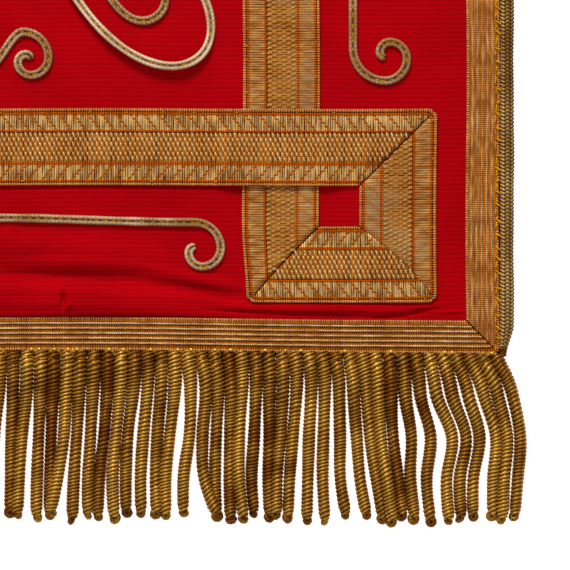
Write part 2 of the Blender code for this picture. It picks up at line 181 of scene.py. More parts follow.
def make_red_rep():
    made, shader = start_material("matt_red_rep", roughness=0.9, specular=0.03)
    place = add_node(made, "TexCoord").outputs["Object"]
    warp = {"Vector": place, "Scale": WAVE / WARP, "Distortion": 1.2, "Detail": 1.0}
    warp = add_node(made, "TexWave", warp, bands_direction="X").outputs["Fac"]
    cloud = add_node(made, "TexNoise", {"Vector": place, "Scale": 34.0, "Detail": 4.0}).outputs["Fac"]
    # painted shade: the rib's height from the mesh darkens the red between the ribs
    weave = add_node(made, "UVMap", uv_map="weave").outputs["UV"]
    crest = add_node(made, "SeparateXYZ", {0: weave}).outputs["Y"]
    share = add_node(made, "Math", {0: crest, 1: 0.4}, operation="MULTIPLY").outputs[0]
    share = add_node(made, "Math", {0: cloud, 1: 0.9, 2: share}, operation="MULTIPLY_ADD").outputs[0]
    share = add_node(made, "MapRange", {0: share, 1: 0.25, 2: 1.1}).outputs[0]
    inputs = {0: share, 6: linear("#980008"), 7: linear("#BC000C")}
    colour = add_node(made, "Mix", inputs, data_type="RGBA").outputs[2]
    dress(made, shader, colour, warp, 0.025 * MM)
    return made


RED_REP = make_red_rep()

# %% [markdown]
# ### Woven thread
# Galloon is woven of gilt thread, which is flat wire spun round a silk core, and of orange silk. Each
# thread could be a tube of its own, but that takes millions of faces. So only what stands out from the
# weave is in the mesh, and the threads are a pattern in the material, with painted light: each thread is
# painted lighter and the gaps between threads are painted shade. No two threads shine alike, so streaks
# drawn out along the threads lighten some and darken others. Silk and gilt shine in their own colour,
# never white, and that keeps the painted shade between the threads warm. Thread that lies level turns its
# shine away from the light, so the upright lengths get relit copies of the materials, painted with other
# light and shade, and patches of painted greyish sheen.

# %% Silk ties
TIE_LEAN = math.radians(40)
TIE_PITCH = 5.6 * MM * math.cos(TIE_LEAN)
TIE_DOT = 1.45 * MM


def tie_rows(made, weave, tie_share):
    """Where orange silk ties the gilt of the side panels down: slanting rows of dots."""
    leaning = add_node(made, "Mapping", {"Vector": weave, "Rotation": (0.0, 0.0, -TIE_LEAN)}).outputs[0]
    row = {"Vector": leaning, "Scale": WAVE / TIE_PITCH, "Distortion": 0.6, "Detail": 1.0}
    row = add_node(made, "TexWave", row, bands_direction="X").outputs["Fac"]
    dot = {"Vector": weave, "Scale": WAVE / TIE_DOT, "Distortion": 1.0, "Detail": 1.0}
    dot = add_node(made, "TexWave", dot, bands_direction="Y").outputs["Fac"]
    tied = add_node(made, "Math", {0: dot, 1: 0.22, 2: row}, operation="MULTIPLY_ADD").outputs[0]
    return add_node(made, "MapRange", {0: tied, 1: 0.91, 2: 1.1, 4: tie_share}).outputs[0]

# %% Woven threads
def make_woven(
    name, dark, light, pitch, uneven=0.5, metallic=0.0, roughness=0.55, ties=None, tie_share=1.0,
    deep=0.16 * MM, lengthwise=False, grey_sheen=None,
):
    """Threads across a galloon, so far apart, or streaks along it.

    ties is the colour of the silk that ties it down, and grey_sheen the colour of its patches of painted
    sheen.
    """
    made, shader = start_material(name, roughness, metallic, specular=0.2, shine="#C87820")
    weave = add_node(made, "UVMap", uv_map="weave").outputs["UV"]
    place = add_node(made, "TexCoord").outputs["Object"]
    drawn = add_node(made, "Mapping", {"Vector": weave, "Scale": (1.0, 0.12, 1.0)}).outputs[0]
    wave = {"Vector": drawn, "Scale": WAVE / pitch, "Distortion": 1.6, "Detail": 1.0, "Detail Scale": 1.5}
    wave = add_node(made, "TexWave", wave, bands_direction="X").outputs["Fac"]
    if lengthwise:
        drawn = add_node(made, "Mapping", {"Vector": weave, "Scale": (0.15, 1.0, 1.0)}).outputs[0]
    streak = add_node(made, "TexNoise", {"Vector": drawn, "Scale": 0.9 / pitch, "Detail": 1.0}).outputs["Fac"]
    patch = add_node(made, "TexNoise", {"Vector": place, "Scale": 75.0, "Detail": 2.0}).outputs["Fac"]
    # painted light: the thread wave paints each thread lighter and the gap between threads as shade
    tone = add_node(made, "Math", {0: wave, 1: 0.45 if lengthwise else 0.6}, operation="MULTIPLY").outputs[0]
    for layer, weight in ((streak, 2 * uneven), (patch, 0.6)):
        tone = add_node(made, "Math", {0: layer, 1: weight, 2: tone}, operation="MULTIPLY_ADD").outputs[0]
    tone = add_node(made, "MapRange", {0: tone, 1: uneven + 0.18, 2: uneven + 1.08}).outputs[0]
    inputs = {0: tone, 6: linear(dark), 7: linear(light)}
    colour = add_node(made, "Mix", inputs, data_type="RGBA").outputs[2]
    # painted sheen: greyish patches where level thread glances the light away
    if grey_sheen:
        sheen_patch = add_node(made, "TexNoise", {"Vector": place, "Scale": 42.0, "Detail": 3.0}).outputs["Fac"]
        sheen_patch = add_node(made, "MapRange", {0: sheen_patch, 1: 0.5, 2: 0.72, 4: 0.75}).outputs[0]
        inputs = {0: sheen_patch, 6: colour, 7: linear(grey_sheen)}
        colour = add_node(made, "Mix", inputs, data_type="RGBA").outputs[2]
    if ties:
        tied = tie_rows(made, weave, tie_share)
        inputs = {0: tied, 6: colour, 7: linear(ties)}
        colour = add_node(made, "Mix", inputs, data_type="RGBA").outputs[2]
        wave = add_node(made, "Math", {0: tied, 1: -1.0, 2: wave}, operation="MULTIPLY_ADD").outputs[0]
    dress(made, shader, colour, wave, deep)
    return made

# %% Threads of the galloons
PICK = 0.93 * MM  # a pair of threads, drawn as one because single threads are too fine to show
GILT = {"metallic": 0.35, "roughness": 0.42}
# patches of painted greyish sheen, only on the upright legs' relit copies
GREY_SHEEN = {"grey_sheen": "#A08058"}

# Side panels: warm gilt picks crossed by orange ties, bright on the level legs and dull on the upright ones,
# where a relit copy paints them with other light
LACE_SIDE = make_woven("tied_gilt_thread", "#582000", "#FCC87C", PICK, 0.9, ties="#AC5808", **GILT)
LACE_SIDE_RELIT = make_woven(
    "level_gilt_thread_painted_lighting", "#6C2C00", "#D4A05C", PICK, 0.8, ties="#A85410", tie_share=0.6, deep=0.08 * MM,
    **GREY_SHEEN,
)
# Middle panel: the orange ground that shows between its pale floats
LACE_GROUND = make_woven("orange_silk_and_gilt", "#582200", "#CC7820", PICK, 0.6)
# the upright legs' relit copy of the ground, with other painted light
LACE_GROUND_RELIT = make_woven(
    "level_silk_and_gilt_painted_lighting", "#702C00", "#C48438", PICK, 0.8, deep=0.08 * MM, **GREY_SHEEN
)
LACE_FLOAT = make_woven("gilt_float", "#B88440", "#FBDFA4", 0.7 * MM, 0.3, deep=0.04 * MM, **GILT)
# the upright legs' relit floats, painted duller
LACE_FLOAT_RELIT = make_woven("level_gilt_float_painted_lighting", "#9C6828", "#DCAC68", 0.7 * MM, 0.5, deep=0.04 * MM)
# Lines of strong orange between the panels, and painted shade for the gaps beside them, for the mitres
# and for the fringe's heading
LACE_LINE = make_woven("orange_silk_line", "#8C3000", "#CC6008", PICK, 0.5)
LACE_SHADE = make_woven("painted_shade", "#280A00", "#642404", PICK, 0.5)
# Selvedges: each pick's turn is a pale bead beside a dark one, like a ladder
LACE_EDGE = make_woven("orange_selvedge_silk", "#6C1400", "#FFB060", PICK, 0.25, deep=0.3 * MM)
BORDER_EDGE = make_woven("pale_selvedge_silk", "#5C1400", "#FFBC74", PICK, 0.3, deep=0.25 * MM)
# The border: pale gilt cords with painted nearly white glints along them, between ribs of orange silk
BORDER_CORD = make_woven("gilt_border_cord", "#A8743C", "#FFE8B4", 0.8 * MM, 0.7, lengthwise=True, **GILT)
# the upright legs' relit cords, painted duller
BORDER_CORD_RELIT = make_woven(
    "level_gilt_cord_painted_lighting", "#8C5C30", "#E8BE88", 0.8 * MM, 0.9, deep=0.1 * MM, lengthwise=True, **GREY_SHEEN
)
BORDER_RIB = make_woven("orange_border_rib", "#7C3000", "#D07818", PICK, 0.5)
# the upright legs' relit ribs, painted lighter
BORDER_RIB_RELIT = make_woven(
    "level_orange_rib_painted_lighting", "#8C3C00", "#DC8018", 0.8 * MM, 0.7, deep=0.08 * MM, lengthwise=True
)
# Sewing silk: small flecks of clear yellow
STITCH = make_woven("yellow_silk", "#B07400", "#F8BC08", 0.4 * MM, 0.3, deep=0.05 * MM)

# %% [markdown]
# ### Cord and bullion
# The couched cord is two braids side by side, paler than the lace because its thread is thinly gilt. The
# plait is duller and browner. Bullion is wire wound to a hollow coil, painted bright on each turn and with
# nearly black-brown painted shade between turns. A bump could draw the turns on a smooth tube, but its
# outline would stay smooth. So the mesh carries the turns, and its weave coordinates tell the material how
# bright a strand is and how high a point stands on a turn, so that the grooves of every cord take painted
# shade.

# %% Cord and bullion
def make_cord_gilt(
    name, groove, dark, light, metallic, roughness, patch=90.0, patchy=1.0, wire=0.35 * MM, braid=0.0,
    specular=0.2, shine="#C87820",
):
    """Gilt cord with painted shade, the groove's colour, between its turns and painted sheen in patches on
    top.

    patch is how many patches of painted sheen there are to a metre, patchy how strong they are, wire the
    grain of its thread and braid the step of its braid.
    """
    made, shader = start_material(name, roughness, metallic, specular, shine)
    weave = add_node(made, "UVMap", uv_map="weave").outputs["UV"]
    strand = add_node(made, "SeparateXYZ", {0: weave}).outputs
    bright, high = strand["X"], strand["Y"]
    place = add_node(made, "TexCoord").outputs["Object"]
    patches = add_node(made, "TexNoise", {"Vector": place, "Scale": patch, "Detail": 3.0}).outputs["Fac"]
    inputs = {0: patches, 1: patchy, 2: 0.5 - 0.5 * patchy}
    tone = add_node(made, "Math", inputs, operation="MULTIPLY_ADD").outputs[0]
    grain = add_node(made, "TexNoise", {"Vector": place, "Scale": 1.0 / wire, "Detail": 2.0}).outputs["Fac"]
    for layer, weight in ((grain, 0.6), (bright, 0.5)):
        tone = add_node(made, "Math", {0: layer, 1: weight, 2: tone}, operation="MULTIPLY_ADD").outputs[0]
    if braid:
        step = add_node(made, "Math", {0: bright, 1: 2 * math.pi / braid}, operation="MULTIPLY").outputs[0]
        step = add_node(made, "Math", {0: high, 1: 3.0, 2: step}, operation="MULTIPLY_ADD").outputs[0]
        step = add_node(made, "Math", {0: step}, operation="SINE").outputs[0]
        tone = add_node(made, "Math", {0: step, 1: 0.07, 2: tone}, operation="MULTIPLY_ADD").outputs[0]
        grain = add_node(made, "Math", {0: step, 1: 0.3, 2: grain}, operation="MULTIPLY_ADD").outputs[0]
    tone = add_node(made, "MapRange", {0: tone, 1: 0.75, 2: 1.35}).outputs[0]
    inputs = {0: tone, 6: linear(dark), 7: linear(light)}
    top = add_node(made, "Mix", inputs, data_type="RGBA").outputs[2]
    # painted shade: the low points of each turn take the groove's colour
    high = add_node(made, "Math", {0: high, 1: 1.4}, operation="POWER").outputs[0]
    inputs = {0: high, 6: linear(groove), 7: top}
    colour = add_node(made, "Mix", inputs, data_type="RGBA").outputs[2]
    dress(made, shader, colour, grain, 0.1 * MM)
    return made


# Pale dry gilt over the couched braid, a browner gilt on the plait, and bright wire with painted shade
# between its turns
COUCHED = make_cord_gilt("pale_gilt_braid", "#54280A", "#A27248", "#F8DCB6", 0.05, 0.62, braid=1.6 * MM)
PLAITED = make_cord_gilt("gilt_plait", "#3A1C04", "#98682E", "#ECC078", 0.4, 0.48)
BULLION = make_cord_gilt(
    "gilt_bullion_coil", "#360C00", "#8E4E06", "#FFBE4C", 0.5, 0.36, patch=85.0, patchy=1.35, specular=0.35,
    shine="#FFC47C",
)

# %% [markdown]
# ## Building with rings
# Every piece here is long and thin, with one section carried along it: a ribbon, a cord, a coil. A curve
# with a bevel could carry a section as well, but it leaves no say over where each row of points lies, and
# mitres, ribs and turns need that. So one function skins them all from rows of points, each row a closed
# ring. It joins row to row and turns the faces outwards. The weave coordinates go with the points, in
# metres along the piece and across it.

# %% Skinning
Skin = namedtuple("Skin", "points weave finish capped")


def skin_faces(skin, first):
    """Quads of one skin as vertex numbers, with their weave coordinates and finishes."""
    rows, ring = skin.points.shape[:2]
    number = first + np.arange(rows * ring).reshape(rows, ring)
    around = np.roll(number, -1, axis=1)
    quads = np.stack([number[:-1], around[:-1], around[1:], number[1:]], axis=-1).reshape(-1, 4)
    weave = skin.weave
    corner = [weave[:-1, :-1], weave[:-1, 1:], weave[1:, 1:], weave[1:, :-1]]
    corner = np.stack(corner, axis=2).reshape(-1, 4, 2)
    finish = np.broadcast_to(np.asarray(skin.finish), (rows - 1, ring)).reshape(-1)
    a, b, c, d = (skin.points.reshape(-1, 3)[quads[:, k] - first] for k in range(4))
    volume = np.einsum("ij,ij->i", a, np.cross(b, c)) + np.einsum("ij,ij->i", a, np.cross(c, d))
    if volume.sum() < 0:
        quads, corner = quads[:, ::-1], corner[:, ::-1]
    return quads, corner, finish

# %% [markdown]
# A piece is one object made of one or more skins. Its faces are set in whole arrays, which is much quicker
# than adding them one by one. The ends are capped, so that each thread is solid, and every object rides on
# the banner.

# %% Pieces from skins
WELD = 0.004 * MM


def show_mesh(mesh):
    """An object of its mesh's name, riding on the banner."""
    made = put_in_scene(mesh.name, mesh)
    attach(made, "root")
    mesh.calc_loop_triangles()
    print(f"{mesh.name}: {len(mesh.loop_triangles)} triangles")
    return made


def make_piece(name, skins, materials, replaces=(), weld=False, smooth=True):
    """One object from several skins, riding on the banner."""
    points, quads, corners, finishes, count = [], [], [], [], 0
    for skin in skins:
        faces, corner, finish = skin_faces(skin, count)
        points.append(skin.points.reshape(-1, 3))
        quads.append(faces)
        corners.append(corner)
        finishes.append(finish)
        count += len(points[-1])
    quads, corners = np.concatenate(quads), np.concatenate(corners)
    mesh = bpy.data.meshes.new(name)
    mesh.vertices.add(count)
    mesh.vertices.foreach_set("co", np.concatenate(points).astype(np.float32).ravel())
    mesh.loops.add(quads.size)
    mesh.loops.foreach_set("vertex_index", quads.astype(np.int32).ravel())
    mesh.polygons.add(len(quads))
    mesh.polygons.foreach_set("loop_start", np.arange(0, quads.size, 4, dtype=np.int32))
    for material in materials:
        mesh.materials.append(material)
    mesh.polygons.foreach_set("material_index", np.concatenate(finishes).astype(np.int32))
    weave = mesh.uv_layers.new(name="weave")
    weave.uv.foreach_set("vector", corners.astype(np.float32).ravel())
    mesh.update(calc_edges=True)
    tidy = bmesh.new()
    tidy.from_mesh(mesh)
    if weld:
        bmesh.ops.remove_doubles(tidy, verts=tidy.verts, dist=WELD)
    if any(skin.capped for skin in skins):
        bmesh.ops.holes_fill(tidy, edges=[e for e in tidy.edges if e.is_boundary], sides=0)
    tidy.to_mesh(mesh)
    tidy.free()
    if smooth:
        mesh.shade_smooth()
    made = show_mesh(mesh)
    if replaces:
        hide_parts(*replaces)
    return made

# %% A soft step
def soft_step(share):
    """0 below 0, 1 above 1 and a soft S between."""
    share = np.clip(share, 0.0, 1.0)
    return share * share * (3.0 - 2.0 * share)

# %% [markdown]
# ## The cloth
# A banner is sewn flat, but galloon and cloth never shrink alike, so the free cloth between them puffs up
# in low soft waves and puckers beside the seams. A cloth simulation would make folds of its own choosing.
# These have to lie where the sewing makes them, so each is a small oval rise or hollow. The large puffs are
# those of the solid, and the small creases are added to them.

# %% Folds of the cloth
CLOTH_THICK = 1.5 * MM
BORDER_WIDE = 12.8 * MM
border_low, border_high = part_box("border_galloon")
BORDER_HALF = border_high.x
FOOT_BOW = 1.6 * MM
PINNED = 4.0 * MM
# Each puff is an oval: its middle, its half length and half width, its turn in degrees and its rise. The
# lengths are in millimetres, and a hollow has a rise below nothing.
Puff = namedtuple("Puff", "x y long wide turn rise")
PUFFS = [Puff(*row) for row in (
    (18, -158.5, 70, 8.6, -6, 1.6), (36, -177.5, 78, 8.5, -2.5, 3.0),
    (128, -183, 58, 4.2, -0.5, 1.4), (-60, -176.5, 39, 8, 2, 1.8), (182, 40, 6.5, 100, 2, 1.0),
    (-182, -30, 6.5, 90, -2, 1.1), (-52, 54, 44, 30, 20, 1.2), (56, -42, 40, 26, -30, 1.0),
    (10, 171, 96, 13, 3, 1.4),
)]
FOOT_PUFF = PUFFS[1]
CREASES = [Puff(*row) for row in (
    (34, -165.2, 44, 4.2, -2, 1.2), (82, -170.8, 30, 3.8, -10, 1.1),
    (34, -169.8, 42, 2.8, -2.5, -0.9), (82, -175.0, 28, 2.6, -9.5, -0.9),
    (52, -173.6, 62, 4.4, -4, -0.8), (30.0, -179.5, 7.0, 1.5, 88, -2.4),
    (31.8, -182.5, 4.0, 1.5, 66, 1.2), (20.0, -171.4, 13.0, 1.5, -1, -0.8),
    (45.0, -171.6, 16.0, 1.7, -3, -0.9), (72.0, -174.6, 17.0, 1.8, -9, -0.9),
    (91.0, -178.0, 12.0, 1.5, -10, -0.9), (90, -178.4, 11, 0.9, -6, -0.4),
    (116, -184.9, 36, 1.0, -2.2, -2.3), (158, -185.9, 13, 1.0, 8, -1.7),
    (167, -184.3, 8.5, 1.3, 13, -1.0), (171, -181.4, 10.0, 1.8, 8, 0.9),
    (181, -183.6, 7.0, 1.3, 6, 0.7), (45.0, -134.8, 120.0, 0.9, 0, -1.3),
    (17.5, -157, 14, 2.6, 38, 0.6), (8, -150, 10, 2.2, 60, 0.4), (25, -184.5, 3.5, 1.0, 78, -0.5),
    (34, -137, 8, 1.6, 96, 0.3), (10, -134, 7, 1.5, 86, -0.3),
)]

# %% [markdown]
# Whatever is sewn to the cloth asks these functions how high it stands, so galloon and cords follow its
# puffs. Near the border every fold is held down, except for the puff beside the foot border, which stays
# full right up to it. The foot border itself is drawn up a little in its middle.

# %% Height of the cloth
def puffed(x, y, puffs):
    """Height in metres of a sum of soft oval rises, over arrays of places."""
    rise = np.zeros(np.broadcast(x, y).shape)
    for puff in puffs:
        turn = math.radians(puff.turn)
        across, along = x / MM - puff.x, y / MM - puff.y
        u = (across * math.cos(turn) + along * math.sin(turn)) / puff.long
        v = (along * math.cos(turn) - across * math.sin(turn)) / puff.wide
        rise += puff.rise * MM * np.maximum(0.0, 1.0 - u * u - v * v) ** 2
    return rise


def cloth_rise(x, y):
    inside = BORDER_HALF - BORDER_WIDE - np.maximum(np.abs(x), np.abs(y))
    return puffed(x, y, PUFFS) * soft_step(inside / PINNED)


def pressed_up(x, y):
    """Height in metres of the puff beside the foot border, from its ridge to the border."""
    puff = FOOT_PUFF
    beyond = puff.y - y / MM + (x / MM - puff.x) * math.tan(math.radians(puff.turn))
    share = np.maximum(0.0, 1.0 - ((x / MM - puff.x) / puff.long) ** 2) ** 2
    full = 1.0 + 0.12 * soft_step(beyond / 4.0) - 0.35 * soft_step((beyond - 4.0) / 6.0)
    return puff.rise * MM * share * full * (beyond > 0)


def foot_bow(x):
    return FOOT_BOW * (1.0 - (x / cloth_high.x) ** 2)


def drawn_up(x, y):
    """How far a place near the foot is drawn up towards the head."""
    return foot_bow(x) * soft_step((-y - 176 * MM) / (11 * MM))

# %% [markdown]
# The ribs run level. A fine even grid would carry them, but it would waste most of its points. This mesh
# has four rows to a rib, which rise and fall with it, and only a few columns to a fold, because the cloth
# is smooth along a rib. The columns stand closest at the sharpest pucker. That keeps the ground, which is
# the largest piece, near 180,000 triangles.

# %% The ribbed cloth
RIB = 1.8 * MM
RIB_ROWS = 4
RIB_HIGH = 0.12 * MM
DIP_MOST = 0.9 * MM  # a crease never dips through the cloth
CLOTH_FOOT = -196.9 * MM
CLOTH_UNDER = 0.05 * MM
# The mesh's columns: a band's end and the step of its columns, finest where the sharpest crease stands
Band = namedtuple("Band", "end step")
COLUMNS = (Band(0, 12), Band(26, 4), Band(36, 0.65), Band(60, 4), Band(190, 2.5), Band(201, 4))


def cloth_columns():
    lines = [cloth_low.x]
    for band in COLUMNS:
        count = max(1, round((band.end * MM - lines[-1]) / (band.step * MM)))
        lines += list(np.linspace(lines[-1], band.end * MM, count + 1)[1:])
    return np.array(lines)


def build_cloth():
    x = cloth_columns()
    foot, head = CLOTH_FOOT, cloth_high.y
    rows = int((head - foot) / RIB * RIB_ROWS) + 1
    y = foot + np.arange(rows) * RIB / RIB_ROWS
    place_x, place_y = np.meshgrid(x, y)
    waver = 0.22 * MM * np.sin(place_x / (31 * MM))
    waver += 0.15 * MM * np.sin(place_x / (13 * MM) + place_y / (60 * MM))
    crest = np.array([0.0, 0.78, 1.0, 0.78])[np.arange(rows) % RIB_ROWS][:, None] + np.zeros_like(place_x)
    inside = BORDER_HALF - BORDER_WIDE - np.maximum(np.abs(place_x), np.abs(place_y))
    held = soft_step(inside / (1.0 * MM))
    fold = np.maximum(cloth_rise(place_x, place_y), pressed_up(place_x, place_y) * held)
    fold += puffed(place_x, place_y, CREASES) * held
    edge = np.minimum(place_y - foot, head - place_y)
    moved = place_y + waver * soft_step(edge / (6 * MM)) + drawn_up(place_x, place_y)
    top = CLOTH_THICK - RIB_HIGH + RIB_HIGH * crest + np.maximum(fold, -DIP_MOST)
    upper = np.stack([place_x, moved, top], axis=-1)
    lower = upper[:, ::-1][:, [0, -1]].copy()
    lower[..., 2] = CLOTH_UNDER
    points = np.concatenate([upper, lower], axis=1)
    ring = points.shape[1]
    weave = np.zeros((rows, ring + 1, 2))
    weave[:, : len(x), 0] = place_x
    # the rib's height, which the red's material turns into painted shade between the ribs
    weave[:, : len(x), 1] = crest
    skin = Skin(points, weave, 0, True)
    return make_piece("red_ground", [skin], [RED_REP], ["ground_cloth"])


ground = build_cloth()

# %% [markdown]
# ## Galloon
# Galloon is ribbon woven with metal thread. It is described band by band from one selvedge to the other:
# how wide the band is, how high its middle stands and what it is woven of. Every thread could be modelled,
# but what shows from a hand's breadth is the swell of each band and the dark gap beside it.

# %% Sections of the galloons
Woven = namedtuple("Woven", "wide high finish points")
SELVEDGE_HIGH = 0.25


def galloon_section(bands):
    """Across, height and finish of a galloon's upper side, centred on its middle line."""
    total = sum(band.wide for band in bands)
    across, high, finish = [-total / 2], [SELVEDGE_HIGH], []
    edge = -total / 2
    for band in bands:
        for k in range(1, band.points + 1):
            share = k / band.points
            across.append(edge + band.wide * share)
            arch = math.sqrt(max(0.0, 1.0 - (2 * share - 1) ** 2))
            high.append(band.high * arch if k < band.points else 0.0)
            finish.append(band.finish)
        edge += band.wide
    high[-1] = SELVEDGE_HIGH
    return np.array(across) * MM, np.array(high) * MM, finish


def requiet(section, swap):
    """The same section with some finishes swapped."""
    across, high, finish = section
    return across, high, [swap.get(f, f) for f in finish]

# %% [markdown]
# A ribbon doesn't bend in its own plane. At a corner the maker folds it under, in a mitre, and both legs
# end on the same slanting line. One mesh bent round the corner would smear its bands, so each leg is a skin
# of its own, whose rows lean to meet the mitre, and the legs are welded there.

# %% Legs of a route
Leg = namedtuple("Leg", "start along left length turn_in turn_out")


def closed_legs(corners):
    """Legs of a closed route with a mitre at every corner."""
    corners = [np.array(c) for c in corners]
    legs = []
    for k, start in enumerate(corners):
        before, end, after = corners[k - 1], corners[(k + 1) % len(corners)], corners[(k + 2) % len(corners)]
        length = np.linalg.norm(end - start)
        along = (end - start) / length
        left = np.array([-along[1], along[0]])
        turn_in = np.sign(np.dot(start - before, -left))
        turn_out = np.sign(np.dot(after - end, left))
        legs.append(Leg(start, along, left, length, turn_in, turn_out))
    return legs


def on_leg(leg, along, across):
    """Places on a leg in the banner's own x and y."""
    x = leg.start[0] + leg.along[0] * along + leg.left[0] * across
    return x, leg.start[1] + leg.along[1] * along + leg.left[1] * across


def is_upright(leg):
    return abs(leg.along[1]) > 0.5


def leg_span(leg, across):
    """Where a leg starts and ends, measured along it, at a place across it."""
    return across * leg.turn_in, leg.length - across * leg.turn_out

# %% [markdown]
# Lace that is sewn by hand is never quite straight or flat: it wavers, swells before a mitre and sinks into
# it. The corner itself is turned in round, so the selvedge runs on through it and only the inner part of
# the mitre is a dark line, where the end rows sink and are painted with shade. Where one leg laps over the
# next, its end bows out and lies higher.

# %% How lace lies
MITRE_DEEP = 0.8 * MM
MITRE_FADE = 1.2 * MM
MITRE_ROWS = np.array([0.0, 0.4, 1.1, 2.2, 3.4]) * MM
# How far a corner rounded to 4.6 mm draws the edge in at each of those rows, and how wide a rim it moves
CORNER_SHIFT = np.array([1.35, 0.99, 0.54, 0.12, 0.0]) * MM
CORNER_RIM = 4 * MM
LAPPED_SINK = 0.45  # a lapped end sinks this share of a plain mitre's depth
RIM_HELD = 0.9  # and the selvedge round a corner is held up by this share
UNDER_POINTS = 8
LAP_HALF = 15.05 * MM
LAP_SLOPE = 0.2
LAP_FADE = 9 * MM


def mitre_puff(x, y, ends):
    """Lace lies a little unevenly and swells just before a mitre, so far from its ends."""
    swell = np.exp(-(((ends - 4 * MM) / (4 * MM)) ** 2))
    return 0.12 * MM * np.sin(x / (17 * MM) + y / (13 * MM)) + 0.25 * MM * swell


def hand_laid(x, y):
    """Lace sewn by hand wavers a little, and one corner was eased in."""
    eased = 1.5 * MM * np.exp(-(((x / MM - 100) / 11) ** 2)) * soft_step((-y / MM - 148) / 30)
    return x + 0.25 * MM * np.sin(y / (19 * MM)) + eased, y + 0.2 * MM * np.sin(x / (27 * MM))


def lap_bow(lap, across):
    """How far a bowed end reaches out at each place across. A bow of nothing is left exactly straight."""
    return lap * (1.0 - (across / LAP_HALF) ** 2)


def lap_rise(laps, across, from_near, from_far):
    """How far a bowed end is lifted by the leg it laps over."""
    rise = 0.0
    for lap, from_end in zip(laps, (from_near, from_far)):
        rise = rise + LAP_SLOPE * lap_bow(lap, across) * (1.0 - soft_step(from_end / LAP_FADE))
    return rise


def cloth_top(x, y):
    return CLOTH_THICK + cloth_rise(x, y)

# %% Lay one leg
def lay_leg(leg, section, thick, step, lift, seam, from_start, deep=MITRE_DEEP, laps=(0.0, 0.0), corner=1.0):
    """The skin of one leg, so thick, with a row of points at every step.

    lift is what it passes over, seam the finish that paints shade on its mitre's end rows, from_start how
    much of the length lies before it, deep how far the mitre sinks and corner how round it turns. laps is how
    far its ends bow out over the next leg.
    """
    across, high, finish = section
    rim = np.clip(np.abs(across) - across[-1] + CORNER_RIM, 0.0, CORNER_RIM) / CORNER_RIM
    rim_near, rim_far = rim * (across * leg.turn_in < 0), rim * (across * leg.turn_out < 0)
    rounded = corner * CORNER_SHIFT[:, None]
    first = across + leg.turn_in * rounded * rim_near
    last = (across + leg.turn_out * rounded * rim_far)[::-1]
    near = leg_span(leg, first)[0] + MITRE_ROWS[:, None] - lap_bow(laps[0], across)
    far = leg_span(leg, last)[1] - MITRE_ROWS[::-1, None] + lap_bow(laps[1], across)
    shares = np.linspace(0.0, 1.0, max(4, int(leg.length / step)))[1:-1, None]
    along = np.concatenate([near, near[-1] + shares * (far[0] - near[-1]), far])
    side = np.concatenate([first, np.broadcast_to(across, (len(shares), len(across))), last])
    ends = np.minimum(along - near[0], far[-1] - along)
    x, y = on_leg(leg, along, side)
    sunk = deep * np.maximum(0.0, 1.0 - ends / MITRE_FADE) ** 0.5
    sunk[:4] *= (LAPPED_SINK if laps[0] else 1.0) * (1.0 - RIM_HELD * rim_near)
    sunk[-4:] *= (LAPPED_SINK if laps[1] else 1.0) * (1.0 - RIM_HELD * rim_far)
    z = cloth_top(x, y) + lift(x, y, leg)
    top = z + thick + high - sunk + mitre_puff(x, y, ends)
    top += lap_rise(laps, across, along - near[0], far[-1] - along)
    x, y = hand_laid(x, y)
    upper = np.stack([x, y + drawn_up(x, y), top], axis=-1)
    under = np.linspace(len(across) - 1, 0, UNDER_POINTS).round().astype(int)
    lower = upper[:, under].copy()
    lower[..., 2] = z[:, under]
    points = np.concatenate([upper, lower], axis=1)
    weave = np.zeros((len(along), points.shape[1] + 1, 2))
    weave[:, : len(across), 0] = along + from_start
    weave[:, : len(across), 1] = np.abs(across)
    finish = np.tile(list(finish) + [finish[0]] * (len(under) + 1), (len(along) - 1, 1))
    # painted shade: the end rows at the mitre, inside the rounded rim, take the seam's dark finish
    for row, at_rim in ((0, rim_near), (-1, rim_far)):
        finish[row, : len(across) - 1][at_rim[1:] < 0.4] = seam
    return Skin(points, weave, finish, False)

# %% [markdown]
# ### The border
# The narrow galloon has five raised gilt cords with ribs of orange silk between them. It is 12.8 mm wide,
# so a cord comes every 1.94 mm. The cords are nearly 1 mm high, and they are round ridges in the mesh so
# that each has its own light and shadow. A narrow band of painted shade lies beside each cord too.

# %% Lay the border
PALE, RIBBED, CORDED, DEEP, CORDED_RELIT, RIBBED_RELIT = range(6)
# DEEP bands are painted shade: a dark line beside each raised cord
BORDER_BANDS = [Woven(0.85, 0.30, PALE, 4), Woven(0.26, 0.10, RIBBED, 1)]
for _ in range(5):
    BORDER_BANDS += [Woven(0.94, 0.22, RIBBED, 3), Woven(0.26, 0.0, DEEP, 1), Woven(0.74, 0.85, CORDED, 5)]
BORDER_BANDS += [Woven(0.16, 0.0, DEEP, 1), Woven(0.98, 0.22, RIBBED, 3), Woven(0.85, 0.30, PALE, 4)]
BORDER_THICK = 0.75 * MM
BORDER_STEP = 3.5 * MM
BORDER_SINK = 0.25 * MM
BORDER_CORNER = 0.65  # its corners are rounded less than the strap's
SIDE_LONG = 0.4
# relit copies for the upright legs, with other painted light; their painted shade beside each cord turns to
# cord
BORDER_RELIT = {RIBBED: RIBBED_RELIT, CORDED: CORDED_RELIT, DEEP: CORDED_RELIT}


def no_lift(x, y, leg):
    return np.zeros_like(x)


MIDDLE_LINE = BORDER_HALF - BORDER_WIDE / 2
CORNERS = ((1, -1), (1, 1), (-1, 1), (-1, -1))
BORDER_LEGS = closed_legs([(x * MIDDLE_LINE, y * MIDDLE_LINE) for x, y in CORNERS])


